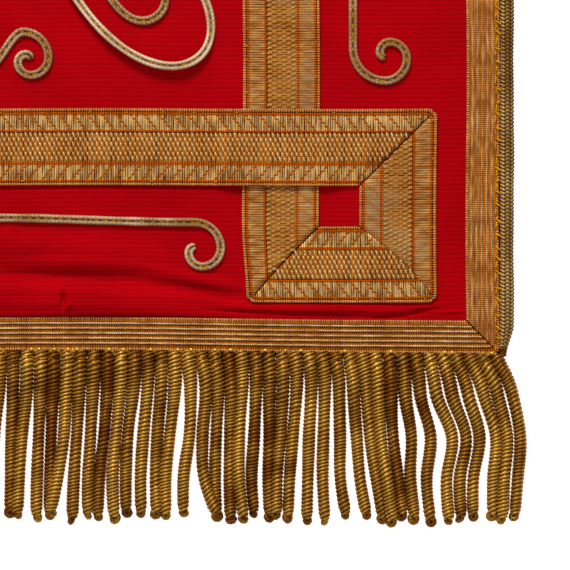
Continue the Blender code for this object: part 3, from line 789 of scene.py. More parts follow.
def build_border():
    section = galloon_section(BORDER_BANDS)
    skins = []
    for k, leg in enumerate(BORDER_LEGS):
        shown = requiet(section, BORDER_RELIT) if is_upright(leg) else section
        skins.append(lay_leg(
            leg, shown, BORDER_THICK, BORDER_STEP, no_lift, DEEP, k * SIDE_LONG, deep=BORDER_SINK,
            corner=BORDER_CORNER,
        ))
    finishes = [BORDER_EDGE, BORDER_RIB, BORDER_CORD, LACE_SHADE, BORDER_CORD_RELIT, BORDER_RIB_RELIT]
    return make_piece("striped_galloon", skins, finishes, ["border_galloon"], weld=True)


border = build_border()

# %% [markdown]
# ### The strap
# The wide lace has a selvedge cord, a side panel of gilt thread tied down with slanting silk, and a middle
# panel where the gilt thread floats in staggered short lengths. It is one length that passes over itself.
# Its legs could be cut where they cross, but that would show, so the long level legs rise over the upright
# ones. At the outer corners the short level legs lap over the upright ones and bow out a little, as a
# folded end does.

# %% Lay the strap
EDGE, SHADE, LINE, SIDE, MIDDLE, SIDE_RELIT, MIDDLE_RELIT = range(7)
# SHADE bands are painted shade: dark lines in the gaps beside the selvedges and panels
STRAP_BANDS = [
    Woven(0.95, 0.38, EDGE, 3), Woven(0.30, 0.0, SHADE, 1), Woven(1.00, 0.26, LINE, 3),
    Woven(5.7, 0.34, SIDE, 6), Woven(0.50, 0.22, LINE, 2), Woven(0.50, 0.22, LINE, 2),
    Woven(11.4, 0.16, MIDDLE, 6), Woven(0.45, 0.0, SHADE, 1), Woven(0.90, 0.30, LINE, 3),
    Woven(5.8, 0.34, SIDE, 6), Woven(1.00, 0.26, LINE, 3), Woven(0.40, 0.0, SHADE, 1),
    Woven(1.10, 0.40, EDGE, 3),
]
# relit copies for the upright legs' panels, with other painted light
STRAP_RELIT = {SIDE: SIDE_RELIT, MIDDLE: MIDDLE_RELIT}
strap_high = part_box("strap_galloon")[1]
STRAP_WIDE = 30.0 * MM
STRAP_THICK = 0.7 * MM
STRAP_STEP = 3.0 * MM
LOOP = 45.9 * MM  # from the middle line of the strap's inner track to that of its outer one
OUTER_X, OUTER_Y = strap_high.x - STRAP_WIDE / 2, strap_high.y - STRAP_WIDE / 2
INNER_X, INNER_Y = OUTER_X - LOOP, OUTER_Y - LOOP
STRAP_LIFT = 1.3 * MM
STRAP_RAMP = 10.0 * MM


def strap_corners():
    quarter = [(OUTER_X, -INNER_Y), (OUTER_X, -OUTER_Y), (INNER_X, -OUTER_Y)]
    right = quarter + [(x, -y) for x, y in reversed(quarter)]
    return right + [(-x, -y) for x, y in right]


def strap_lift(x, y, leg):
    """The long level legs rise over the upright ones."""
    if is_upright(leg) or leg.length < 2 * LOOP:
        return np.zeros_like(x)
    beyond = np.abs(np.abs(x) - INNER_X) - STRAP_WIDE / 2 - 2.0 * MM
    return STRAP_LIFT * (1.0 - soft_step(beyond / STRAP_RAMP))


STRAP_LEGS = closed_legs(strap_corners())
LAP = 3.4 * MM


def strap_laps(leg):
    """The short level legs bow out over the upright ones at the outer corners."""
    if is_upright(leg) or leg.length > 2 * LOOP:
        return 0.0, 0.0
    at_start = abs(leg.start[0]) > INNER_X + 1 * MM
    return (LAP, 0.0) if at_start else (0.0, LAP)


def build_strap():
    section = galloon_section(STRAP_BANDS)
    skins, run = [], 0.0
    for leg in STRAP_LEGS:
        shown = requiet(section, STRAP_RELIT) if is_upright(leg) else section
        laid = lay_leg(leg, shown, STRAP_THICK, STRAP_STEP, strap_lift, SHADE, run, laps=strap_laps(leg))
        skins.append(laid._replace(capped=True))
        run += leg.length
    finishes = [LACE_EDGE, LACE_SHADE, LACE_LINE, LACE_SIDE, LACE_GROUND, LACE_SIDE_RELIT, LACE_GROUND_RELIT]
    print(f"strap: {run / MM:.0f} mm of lace")
    return make_piece("lace_strap", skins, finishes, ["strap_galloon"], weld=True), run


strap, strap_long = build_strap()

# %% [markdown]
# The floats catch the light one by one, which a bump can't give. So each is a short plump thread, 1 mm wide
# and 2.4 mm long, every 1.86 mm, and each row is set half a step from the last. There are thousands, so
# each has only seven faces, and one array holds the shape of them all. On the upright legs they lie
# flatter.

# %% Floats of the strap's middle panel
FLOAT_PITCH = 1.86 * MM
FLOAT_ROWS = 6
FLOAT_SHAPE = np.array([
    (0.0, -1.2, 0.0), (0.5, -0.65, 0.0), (0.5, 0.65, 0.0), (0.0, 1.2, 0.0), (-0.5, 0.65, 0.0),
    (-0.5, -0.65, 0.0), (0.0, -0.65, 0.34), (0.0, 0.65, 0.34),
]) * MM
FLOAT_FACES = ((0, 1, 6), (1, 2, 7, 6), (2, 3, 7), (3, 4, 7), (4, 5, 6, 7), (5, 0, 6), (5, 4, 3, 2, 1, 0))
FLOAT_SLANT = 0.28  # along the strap for each step across it
FLOAT_BASE = 0.76 * MM
FLOAT_CLEAR = 1.1 * MM  # between the first float and the leg's end
FLOAT_QUIET = 0.55


def float_places(leg):
    """Along, across and distances from both of the leg's ends of every float on it."""
    places = []
    for row in range(FLOAT_ROWS):
        across = (row - (FLOAT_ROWS - 1) / 2) * FLOAT_PITCH
        near, far = leg_span(leg, across)
        laps, under = strap_laps(leg), lap_bow(LAP, across)
        near, far = near - lap_bow(laps[0], across), far + lap_bow(laps[1], across)
        if is_upright(leg) and leg.length < 2 * LOOP:
            at_end = abs(leg.start[1] + leg.along[1] * leg.length) > INNER_Y + 1 * MM
            near, far = (near, far - under) if at_end else (near + under, far)
        along = np.arange(near + FLOAT_CLEAR + (row % 2) * FLOAT_PITCH / 2, far - FLOAT_CLEAR, FLOAT_PITCH)
        places.append(np.stack([along, np.full_like(along, across), along - near, far - along], axis=-1))
    return np.concatenate(places)


def build_floats():
    uneven = np.random.default_rng(5)
    points, weave, finish = [], [], []
    for leg in STRAP_LEGS:
        places = float_places(leg)
        # the upright legs' floats take the relit copy, painted duller
        finish += [int(is_upright(leg))] * len(places) * len(FLOAT_FACES)
        sized = uneven.uniform(0.85, 1.1, (len(places), 1))
        along = places[:, :1] + (FLOAT_SHAPE[:, 0] - FLOAT_SLANT * FLOAT_SHAPE[:, 1]) * sized
        across = places[:, 1:2] + FLOAT_SHAPE[:, 1] * sized
        x, y = on_leg(leg, along, across)
        ends = np.minimum(places[:, 2:3], places[:, 3:])
        z = cloth_top(x, y) + strap_lift(x, y, leg) + mitre_puff(x, y, ends) + FLOAT_BASE
        z = z + lap_rise(strap_laps(leg), places[:, 1:2], places[:, 2:3], places[:, 3:])
        plump = uneven.uniform(0.8, 1.15, (len(places), 1)) * (FLOAT_QUIET if is_upright(leg) else 1.0)
        z += FLOAT_SHAPE[:, 2] * plump
        x, y = hand_laid(x, y)
        points.append(np.stack([x, y, z], axis=-1).reshape(-1, 3))
        weave.append(np.stack([across, along], axis=-1).reshape(-1, 2))
    points, weave = np.concatenate(points), np.concatenate(weave)
    count = len(points) // len(FLOAT_SHAPE)
    faces = [tuple(len(FLOAT_SHAPE) * k + v for v in face) for k in range(count) for face in FLOAT_FACES]
    mesh = bpy.data.meshes.new("lace_floats")
    mesh.from_pydata(points.tolist(), [], faces)
    loops = np.zeros(len(mesh.loops), np.int32)
    mesh.loops.foreach_get("vertex_index", loops)
    mesh.uv_layers.new(name="weave").uv.foreach_set("vector", weave[loops].astype(np.float32).ravel())
    mesh.materials.append(LACE_FLOAT)
    mesh.materials.append(LACE_FLOAT_RELIT)
    mesh.polygons.foreach_set("material_index", np.array(finish, dtype=np.int32))
    mesh.shade_smooth()
    print(f"{count} floats")
    return show_mesh(mesh)


floats = build_floats()

# %% [markdown]
# The lace is sewn down along both edges with yellow silk. What shows is a small dot where each stitch goes
# down, 4 to 18 mm apart and never quite even. So only the dot is made, as a short thread that is thickest
# in its middle, and nothing of it lies under the lace.

# %% Sewing stitches
def tube_rings(line, radius, sides, twist=0.0):
    """Rings of points round a line, as rows by sides. twist turns each ring by so many radians."""
    slope = np.gradient(line, axis=0)
    slope /= np.linalg.norm(slope, axis=1)[:, None]
    across = np.cross(slope, (0.0, 0.0, 1.0))
    long = np.linalg.norm(across, axis=1)[:, None]
    across = np.where(long > 1e-6, across / np.maximum(long, 1e-6), (1.0, 0.0, 0.0))
    up = np.cross(across, slope)
    turn = 2 * np.pi * np.arange(sides) / sides + np.zeros((len(line), 1)) + np.reshape(twist, (-1, 1))
    radius = np.broadcast_to(radius, (len(line),))[:, None, None]
    around = across[:, None] * np.cos(turn)[..., None] + up[:, None] * np.sin(turn)[..., None]
    return line[:, None] + radius * around


def tube_skin(line, radius, sides):
    """A thread round a line."""
    far = np.concatenate([[0.0], np.cumsum(np.linalg.norm(np.diff(line, axis=0), axis=1))])
    weave = np.ones((len(line), sides + 1, 2))
    weave[..., 0] = far[:, None]
    return Skin(tube_rings(line, radius, sides), weave, 0, True)


def stitch_skin(middle, way, long, radius, sides=5):
    """A short plump stitch, middle and way given in the plane, as rings that swell in the middle."""
    shares = np.array([-0.5, -0.2, 0.2, 0.5])
    line = np.array(middle) + shares[:, None] * long * np.array([way[0], way[1], 0.0])
    line[[0, -1], 2] -= 0.8 * radius
    return tube_skin(line, radius * np.array([0.4, 1.0, 1.0, 0.4]), sides)

# %% Sew the galloons down
def sew_down(legs, across, height, lift, uneven):
    """Stitches along one edge of some legs, so far across and so high above the cloth."""
    skins = []
    for leg in legs:
        near, far = leg_span(leg, across)
        at = near + 3 * MM
        while at < far - 2 * MM:
            side = across + uneven.uniform(-0.15, 0.15) * MM
            x, y = on_leg(leg, np.array([at]), side)
            ends = np.array([min(at - near, far - at)])
            z = cloth_top(x, y) + lift(x, y, leg) + mitre_puff(x, y, ends) + height
            x, y = hand_laid(x, y)
            place = (x[0], y[0] + drawn_up(x, y)[0], z[0])
            long, radius = uneven.uniform(0.5, 1.2) * MM, uneven.uniform(0.14, 0.28) * MM
            skins.append(stitch_skin(place, leg.along, long, radius))
            at += uneven.uniform(4.0, 18.0) * MM
    return skins


uneven_sewing = np.random.default_rng(8)
STRAP_SEAM = STRAP_WIDE / 2 - 1.5 * MM
BORDER_SEAM = BORDER_WIDE / 2 - 0.5 * MM
STRAP_STITCH_HIGH = 1.12 * MM
BORDER_STITCH_HIGH = 1.15 * MM
strap_stitches = []
for seam in (STRAP_SEAM, -STRAP_SEAM):
    strap_stitches += sew_down(STRAP_LEGS, seam, STRAP_STITCH_HIGH, strap_lift, uneven_sewing)
border_stitches = sew_down(BORDER_LEGS, BORDER_SEAM, BORDER_STITCH_HIGH, no_lift, uneven_sewing)
strap_sewing = make_piece("strap_stitches", strap_stitches, [STITCH])
border_sewing = make_piece("border_stitches", border_stitches, [STITCH])

# %% [markdown]
# ## Couched cord
# The cord is two fine braids side by side. It is laid along the design and caught down with small stitches
# in the valley between them. Two separate tubes would run into each other in the tight curls, so one
# section with two round lobes is carried along the route. A scroll's route is a run with quarter arcs at
# both ends, each tighter than the last.

# %% Cord routes
CORD_SECTION = np.array([
    (-1.75, 0.55), (-1.5, 1.2), (-0.95, 1.55), (-0.4, 1.28), (0.0, 0.72), (0.4, 1.28),
    (0.95, 1.55), (1.5, 1.2), (1.75, 0.55), (1.4, 0.0), (0.0, 0.0), (-1.4, 0.0),
]) * MM
# how high each point stands, which paints shade in the valley and at the outer edges
CORD_HIGH = np.array([0.45, 0.95, 1.0, 0.6, 0.0, 0.6, 1.0, 0.95, 0.45, 0.0, 0.0, 0.0, 0.45])
CORD_STEP = 1.1 * MM
Scroll = namedtuple("Scroll", "offset half_run bow radii")
SIDE_SCROLL = Scroll(offset=143.1, half_run=80.7, bow=0.0, radii=(12.5, 8.6, 6.6, 4.0, 2.2))
END_SCROLL = Scroll(offset=146.8, half_run=81.4, bow=1.8, radii=(10.0, 7.3, 5.3, 2.7))
FIELD_SCROLL = Scroll(offset=88.0, half_run=14.0, bow=-14.0, radii=(10.0, 7.0, 5.0, 3.2, 2.0))
SIDES = {"right": (1, 0), "head": (0, 1), "left": (-1, 0), "foot": (0, -1)}


def on_cloth(x, y):
    """A route that touches the cloth all along."""
    return np.stack([x, y, np.zeros_like(x)], axis=-1)


def quarter_arcs(x, y, radii, steps=8):
    """Quarter arcs to the right, each tighter than the last, starting along +X."""
    points, heading = [], 0.0
    for radius in radii:
        middle_x, middle_y = x + radius * math.sin(heading), y - radius * math.cos(heading)
        for k in range(1, steps + 1):
            turned = heading - math.pi / 2 * k / steps
            points.append((middle_x - radius * math.sin(turned), middle_y + radius * math.cos(turned)))
        x, y = points[-1]
        heading -= math.pi / 2
    return points


def scroll_route(scroll, towards):
    """Route of a scroll in metres. towards points from the banner's middle to the scroll."""
    run = [(scroll.half_run * k / 10, -scroll.bow * float(soft_step(k / 10))) for k in range(11)]
    half = run + quarter_arcs(*run[-1], scroll.radii)
    whole = np.array([(-x, y) for x, y in reversed(half[1:])] + half) * MM
    outward = scroll.offset * MM - whole[:, 1]
    x = towards[0] * outward - towards[1] * whole[:, 0]
    return on_cloth(x, towards[1] * outward + towards[0] * whole[:, 0])


def resample(route, step, closed=False):
    """The same route with even steps."""
    if closed:
        route = np.concatenate([route, route[:1]])
    far = np.concatenate([[0.0], np.cumsum(np.linalg.norm(np.diff(route[:, :2], axis=0), axis=1))])
    count = max(3, int(far[-1] / step))
    at = np.linspace(0.0, far[-1], count + 1)
    return np.stack([np.interp(at, far, route[:, k]) for k in range(3)], axis=-1), at

# %% Lay a cord
COUCH_HIGH = 0.98 * MM
COUCH_RADIUS = 0.25 * MM


def lay_cord(route, closed=False):
    """The skin of a cord, with its middle line, its direction and the height of what it lies on."""
    line, at = resample(route, CORD_STEP, closed)
    slope = np.gradient(line[:, :2], axis=0)
    if closed:
        slope[0] = slope[-1] = (line[1, :2] - line[-2, :2])
    slope /= np.linalg.norm(slope, axis=1)[:, None]
    left = np.stack([-slope[:, 1], slope[:, 0]], axis=-1)
    swell = 1.0 + 0.03 * np.sin(at / (3.1 * MM))
    if not closed:
        swell = swell * (0.62 + 0.38 * soft_step(np.minimum(at, at[-1] - at) / (1.6 * MM)))
    base = CLOTH_THICK + cloth_rise(line[:, 0], line[:, 1]) + line[:, 2]
    across = CORD_SECTION[:, 0] * swell[:, None]
    x = line[:, :1] + left[:, :1] * across
    y = line[:, 1:2] + left[:, 1:] * across
    z = base[:, None] + CORD_SECTION[:, 1] * swell[:, None]
    weave = np.zeros((len(at), len(CORD_SECTION) + 1, 2))
    weave[..., 0] = at[:, None]
    weave[..., 1] = CORD_HIGH
    return Skin(np.stack([x, y, z], axis=-1), weave, 0, not closed), line, slope, base


def couch_down(line, slope, base):
    """The stitches that hold a cord, lying end to end in the valley between its braids."""
    skins, k = [], 1.0
    while k < len(line) - 2:
        at = int(k)
        long = uneven_couching.uniform(1.3, 3.0) * MM
        place = (line[at, 0], line[at, 1], base[at] + COUCH_HIGH)
        skins.append(stitch_skin(place, slope[at], long, COUCH_RADIUS, sides=4))
        k += (long + uneven_couching.uniform(0.4, 1.6) * MM) / CORD_STEP
    return skins


uneven_couching = np.random.default_rng(3)
couching = []


def add_cord(node, route, closed=False):
    skin, line, slope, base = lay_cord(route, closed)
    couching.extend(couch_down(line, slope, base))
    return make_piece("couched_" + node, [skin], [COUCHED], [node], weld=closed)


for side, towards in SIDES.items():
    outer = SIDE_SCROLL if towards[0] else END_SCROLL
    add_cord(f"scroll_{side}", scroll_route(outer, towards))
    add_cord(f"field_scroll_{side}", scroll_route(FIELD_SCROLL, towards))

# %% [markdown]
# ### The middle of the field
# The field holds a plain ornament: a knot with four loops that passes over and under itself by turns, a
# leaf in each loop and a ring in the middle. Its routes could be lists of points, but a formula is shorter
# and closes exactly. The knot is a large circle with a smaller one on it that turns three times as fast the
# other way.

# %% Knot, leaves and ring
KNOT_ROUND = 68.0 * MM
KNOT_LOOP = 50.0 * MM
KNOT_LIFT = 2.2 * MM
RING_RADIUS = 10.0 * MM
LEAF_MIDDLE = 78.5 * MM
LEAF_HALF_LONG = 16.5 * MM
LEAF_HALF_WIDE = 9.0 * MM


def knot_route():
    turn = 2 * np.pi * (np.arange(480) + 0.5) / 480
    x = KNOT_ROUND * np.cos(turn) + KNOT_LOOP * np.cos(3 * turn)
    y = KNOT_ROUND * np.sin(turn) - KNOT_LOOP * np.sin(3 * turn)
    lift = KNOT_LIFT * soft_step(0.5 + 0.9 * np.sin(4 * turn))
    return np.stack([(x - y) * math.sqrt(0.5), (x + y) * math.sqrt(0.5), lift], axis=-1)


def ring_route():
    turn = 2 * np.pi * np.arange(60) / 60
    return on_cloth(RING_RADIUS * np.cos(turn), RING_RADIUS * np.sin(turn))


def leaf_route(degrees):
    ray = math.radians(degrees)
    turn = 2 * np.pi * np.arange(120) / 120
    outward = LEAF_MIDDLE - LEAF_HALF_LONG * np.cos(turn)
    across = LEAF_HALF_WIDE * np.sin(turn) * (1 - 0.35 * np.cos(turn))
    x = outward * math.cos(ray) - across * math.sin(ray)
    return on_cloth(x, outward * math.sin(ray) + across * math.cos(ray))


add_cord("field_knot", knot_route(), closed=True)
add_cord("field_ring", ring_route(), closed=True)
for k in range(4):
    add_cord(f"field_leaf_{k + 1}", leaf_route(45 + 90 * k), closed=True)
make_piece("couching_stitches", couching, [STITCH])

# %% [markdown]
# ## Side cords
# A plaited cord lies along each side. Three columns of slanting strands show from above and meet in
# grooves. Strands could be plaited as tubes, but half of their faces would be hidden inside. So this is one
# skin whose rings are bent to and fro to follow the strands, and every fourth ring is a groove between two
# strands. At its foot the cord is bound with dark gilt wire.

# %% Plait the side cords
PLAIT_PITCH = 1.45 * MM
PLAIT_ROWS = 4
PLAIT_RADIUS = 2.85 * MM
PLAIT_RELIEF = np.array([1.0, 0.3, 0.0, 0.35])
# Degrees round the cord from straight up: the ring's points, its grooves, and what changes with them
PLAIT_TURNS = np.array([
    -88, -72, -56, -41, -30, -24, -18, -8, 3, 14, 20, 25, 31, 42, 52, 58, 64, 80, 115, 180, 235.0
])
PLAIT_SEAMS = (-24, 25, 58)
PLAIT_DROP = ((-88, -24, 2, 25, 58, 90, 235), (0.0, 1.1, 0.1, 1.1, 0.2, 0.7, 0.0))
# painted light and shade round the plait: the left column lightest, the middle darkest, the right between
PLAIT_TONE = ((-40, -24, -20, 20, 25, 40, 90), (0.8, 0.8, 0.25, 0.25, 0.5, 0.5, 0.3))
PLAIT_BOUND = 3.0 * MM
PLAIT_BEYOND = 1.2 * MM  # how far the bound foot reaches past the solid


def build_plait(side, node):
    """The plaited cord on one side, in place of its solid."""
    low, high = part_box(node)
    foot = low.y - PLAIT_BEYOND
    rows = int((high.y - foot) / PLAIT_PITCH * PLAIT_ROWS)
    step = PLAIT_RELIEF[np.arange(rows) % PLAIT_ROWS][:, None]
    turn = np.radians(PLAIT_TURNS)
    drop = np.interp(PLAIT_TURNS, *PLAIT_DROP) * MM
    y = foot + np.arange(rows)[:, None] * PLAIT_PITCH / PLAIT_ROWS - drop
    share = soft_step((y - foot) / (13.0 * MM)) * soft_step((high.y - y) / (6.0 * MM))
    seam = sum(np.exp(-(((PLAIT_TURNS - place) / 5.0) ** 2)) for place in PLAIT_SEAMS)
    waver = 0.12 * MM * np.sin(y / (11 * MM)) + 0.08 * MM * np.sin(y / (4.1 * MM))
    size = (PLAIT_RADIUS + waver) * (1.0 - 0.12 * seam - 0.17 * step) * (0.45 + 0.55 * share)
    x = BORDER_HALF + 3.1 * MM - (1.0 - share) * 1.5 * MM + size * np.sin(turn)
    z = PLAIT_RADIUS + size * np.cos(turn) * 0.95
    x = np.where(z < 1.7 * MM, np.maximum(x, cloth_high.x + 0.02 * MM), x)
    points = np.stack([side * x, np.clip(y, foot, high.y), z], axis=-1)
    weave = np.zeros((rows, len(turn) + 1, 2))
    row = np.arange(rows)[:, None]
    weave[:, :-1, 0] = np.interp(PLAIT_TURNS, *PLAIT_TONE) + 0.25 * np.sin(row / 97) + 0.2 * np.sin(row / 31)
    # painted shade in the grooves between strands and on the side past 62 degrees
    weave[:, :-1, 1] = (1.0 - step) * (1.0 - 0.8 * seam) * np.interp(PLAIT_TURNS, (54, 62), (1.0, 0.3))
    weave[:, -1] = weave[:, 0]
    weave[:12, :, 0] = -0.3
    finish = (y[:-1] < foot + PLAIT_BOUND).astype(int)
    skin = Skin(points, weave, finish, True)
    return make_piece(node.replace("edge_cord", "plait"), [skin], [PLAITED, BULLION], [node])


plaits = [build_plait(1, "edge_cord_right"), build_plait(-1, "edge_cord_left")]

# %% [markdown]
# The cord is whipped to the banner's edge with yellow silk. One spiral of thread would be too even, so
# every stitch is its own short thread. They run by turns along the galloon's selvedge and over the seam
# into the cord, and no two slant alike.

# %% Whip stitches
WHIP_RUN = np.array([(-1.2, 2.2, 2.5), (-1.05, 0.9, 2.95), (-1.25, -0.7, 2.95), (-1.1, -2.2, 2.5)])
WHIP_SLANT = np.array([
    (-1.5, 1.2, 2.6), (-0.9, 0.6, 3.0), (-0.3, 0.1, 3.5), (0.2, -0.5, 4.1), (0.6, -1.0, 4.4)
])
WHIP_STEP = 2.6 * MM


def build_whipping(side, name):
    """The stitches along one side. Every second one of those over the seam may lean the other way."""
    uneven = np.random.default_rng(21 + side)
    skins = []
    for k, y in enumerate(np.arange(border_low.y + 3.0 * MM, border_high.y - 2.0 * MM, WHIP_STEP)):
        slant = uneven.uniform(-0.4 if k % 4 == 1 else 0.5, 1.1)
        shape = (WHIP_SLANT if k % 2 else WHIP_RUN) * (1.0, slant, 1.0)
        x = side * (BORDER_HALF + uneven.uniform(-0.25, 0.15) * MM)
        line = shape * MM * (side, 1.0, 1.0) + (x, y + uneven.uniform(-0.9, 0.9) * MM, 0.0)
        swell = 0.5 + 0.5 * np.sin(np.pi * np.linspace(0.0, 1.0, len(line)))
        skins.append(tube_skin(line, uneven.uniform(0.22, 0.4) * MM * swell, 6))
    return make_piece(name, skins, [STITCH])


whipping = [build_whipping(1, "whip_stitches_right"), build_whipping(-1, "whip_stitches_left")]

# %% [markdown]
# ## Bullion fringe
# The bullions lie on a table, so they sway. They could be dropped there in a simulation, but that is slow,
# and where each came to lie would be chance. Here a short table says how those at some places sway,
# neighbours lie between them, and a few strays cross the rest.

# %% Sway of the bullions
# Where a bullion is rooted, then how far it sways at a quarter, half, three quarters and the end of its
# length, in millimetres. The bullions between take their share of both neighbours.
SWAYS = np.array([
    (-201, -1.9, -2.8, -2.6, -2.4), (-180, -0.8, -1.8, -2.2, -1.4), (-150, 0.4, 0.8, -0.4, -1.0),
    (-110, 0.6, 2.2, 2.4, 1.0), (-70, -0.4, -0.6, -1.8, -2.6), (-30, 0.2, 0.8, 0.2, -0.8),
    (10, -0.2, -0.8, -1.2, -1.4), (35, -0.9, -1.4, -2.4, -3.0), (63, -1.2, -3.2, -3.8, -3.3),
    (74, -0.4, -1.4, -2.7, -2.2), (83, 0.9, 0.3, -0.4, 1.0), (94, 0.2, -0.3, -0.4, 0.0),
    (104, -1.0, -1.8, -2.0, -1.4), (116, -0.7, -1.4, -2.6, -2.8), (126, 0.0, 0.0, 0.2, 0.2),
    (137, 0.3, 0.8, 1.0, 3.8), (147, 0.2, 1.1, 3.0, 5.4), (157, -0.5, 0.6, 2.8, 5.0),
    (163, -0.2, 3.0, 2.6, 4.7), (173, 1.2, 7.4, 4.8, 6.0), (184, 3.2, 8.0, 6.0, 6.0),
    (201, 4.8, 7.8, 7.2, 5.9),
])
# Bullions that stray from that, by number: by how much at each quarter, how high they ride, and their tone,
# which paints most that ride high in light and those that lie low in shade
Stray = namedtuple("Stray", "quarter half three_quarter end up tone")
STRAYS = {
    6: Stray(0, 1.0, 3.0, 4.6, 2.2, 0.8),
    19: Stray(0, -0.8, -2.4, -5.0, 2.4, 0.6),
    30: Stray(0, 0.5, 2.2, 5.2, 2.2, 0.9),
    43: Stray(0, 0, 0.4, 0.5, 0, 0.1),
    44: Stray(0, 0, -1.6, -4.6, 2.4, 1.0),
    47: Stray(0.4, 0.4, -0.6, -1.2, 0, 0.05),
    48: Stray(0, 0, -0.5, -0.2, 1.2, 0.95),
    50: Stray(0.3, 0.8, 0.4, 0, 0.8, 0.6),
    53: Stray(0.3, 0.6, -0.6, -1.8, 0.4, 0.7),
    54: Stray(0.2, -0.4, 0.8, 5.2, 2.2, 0.25),
    57: Stray(-0.3, -0.6, -0.6, 0.8, 1.4, 1.0),
    58: Stray(0.3, 0.4, -0.4, 0.2, 0, 0.1),
    67: Stray(-0.2, -0.2, 0, 0, 1.0, 1.0),
    71: Stray(0, 0, 0.3, 0, 0.6, 0.95),
}

# %% [markdown]
# A bullion's middle line is a smooth curve through the five places that the table gives, and the whole
# fringe fans out a little towards its ends.

# %% Middle line of a bullion
STRANDS = 77
STRAND_SPAN = 397.4 * MM
STRAND_FAN = 2.2 * MM
STRAND_LONG = 66.0 * MM


def strand_line(root, at, jitter, stray):
    """Middle line of one bullion at distances from its root."""
    columns = [0.0] + [np.interp(root / MM, SWAYS[:, 0], column) for column in SWAYS[:, 1:].T]
    columns = np.array(columns) + np.array([0.0, 0.15, 0.7, 1.1, 1.4]) * jitter
    if stray:
        columns[1:] += stray[:4]
    share = at / STRAND_LONG * 4
    k = np.clip(share.astype(int), 0, 3)
    t = share - k
    padded = np.concatenate([[columns[0]], columns, [2 * columns[-1] - columns[-2]]])
    before, here, there, after = padded[k], padded[k + 1], padded[k + 2], padded[k + 3]
    sway = (2 * t**3 - 3 * t**2 + 1) * here + (t**3 - 2 * t**2 + t) * (there - before) / 2
    sway += (3 * t**2 - 2 * t**3) * there + (t**3 - t**2) * (after - here) / 2
    fan = STRAND_FAN * root / (STRAND_SPAN / 2) * soft_step((at + 4 * MM) / (18 * MM))
    return root + fan + sway * soft_step((at + 3 * MM) / (12 * MM)) * MM

# %% [markdown]
# A bullion is a hollow coil of gilt wire, folded in two and twisted on itself, so ridges wind round it. A
# wire swept along a helix would take many times the faces. This mesh has twelve points round and four rows
# to a ridge. Row and point step on together along the ridge, so the crest always runs through points and
# stays sharp.

# %% The coil of a bullion
STRAND_RADIUS = 2.62 * MM
RIDGE = 1.45 * MM
COIL_RING = 12
RIDGE_ROWS = 4
RIDGE_SHAPE = np.array([0.68, 0.92, 1.0, 0.90])
# painted light on each ridge: a thin highlight on its crest and painted shade in its groove
RIDGE_TONE = np.array([0.0, 0.52, 1.0, 0.5])


def strand_root_y(x):
    return border_low.y + 0.2 * MM + foot_bow(x)


def coil_skin(root, uneven, high, stray):
    """The ridged skin of one bullion, with the line of its middle and its tone."""
    rows = int(STRAND_LONG * uneven.uniform(0.955, 1.005) / (RIDGE / RIDGE_ROWS))
    at = np.arange(rows) * RIDGE / RIDGE_ROWS
    placed = root + uneven.normal(0.0, 0.12) * MM
    line_x = strand_line(placed, at, 0.0 if stray else uneven.normal(0.0, 0.9), stray)
    roll = uneven.uniform(0, 6.28, 3)
    if stray:
        high = high + stray.up * MM * soft_step((at - 20 * MM) / (18 * MM))
    rise = high + 0.5 * MM * np.sin(at / (8.5 * MM) + roll[0]) + 0.3 * MM * np.sin(at / (4.2 * MM) + roll[1])
    from_root = soft_step(at / (7 * MM))
    radius = STRAND_RADIUS * (1.0 + 0.04 * np.sin(at / (6 * MM) + roll[2]))
    radius = radius * (0.9 + 0.1 * soft_step(at / (3 * MM)))
    radius = radius * (1.15 - 0.15 * soft_step((at - 6 * MM) / (24 * MM)))
    radius = radius * (0.8 + 0.2 * soft_step((at[-1] - at) / (3 * MM)))
    line_z = np.maximum(2.0 * MM + (rise - 2.0 * MM) * from_root, radius + 0.02 * MM)
    line = np.stack([line_x, strand_root_y(root) - at, line_z], axis=-1)
    phase = (np.arange(rows)[:, None] + np.arange(COIL_RING)[None, :]) % RIDGE_ROWS
    twist = 0.3 * np.sin(at / (2.6 * MM) + roll[0]) + 0.7 * np.sin(at / (5.3 * MM) + roll[2])
    rings = tube_rings(line, radius, COIL_RING, twist)
    points = line[:, None] + (rings - line[:, None]) * RIDGE_SHAPE[phase][..., None]
    # a stray's tone paints light or shade by how high it rides; the others differ at random
    tone = stray.tone if stray else np.clip(uneven.normal(0.52, 0.24), 0.1, 1.0)
    weave = np.full((rows, COIL_RING + 1, 2), tone)
    # painted shade near the root, below the border
    weave[..., 0] -= 0.2 * (1.0 - soft_step(at / (9 * MM)))[:, None]
    weave[:, :-1, 1] = RIDGE_TONE[phase]
    weave[:, -1, 1] = weave[:, 0, 1]
    return Skin(points, weave, 0, True), line, tone

# %% [markdown]
# At a bullion's end the coil turns back on itself and shows a small loop, and where it is sewn on it throws
# up a bright arch of wire. Both are short bent tubes whose every second ring is a little thinner, like the
# turns of the wire.

# %% End loops and curls
END_RINGS = 15
CURL_RINGS = 13


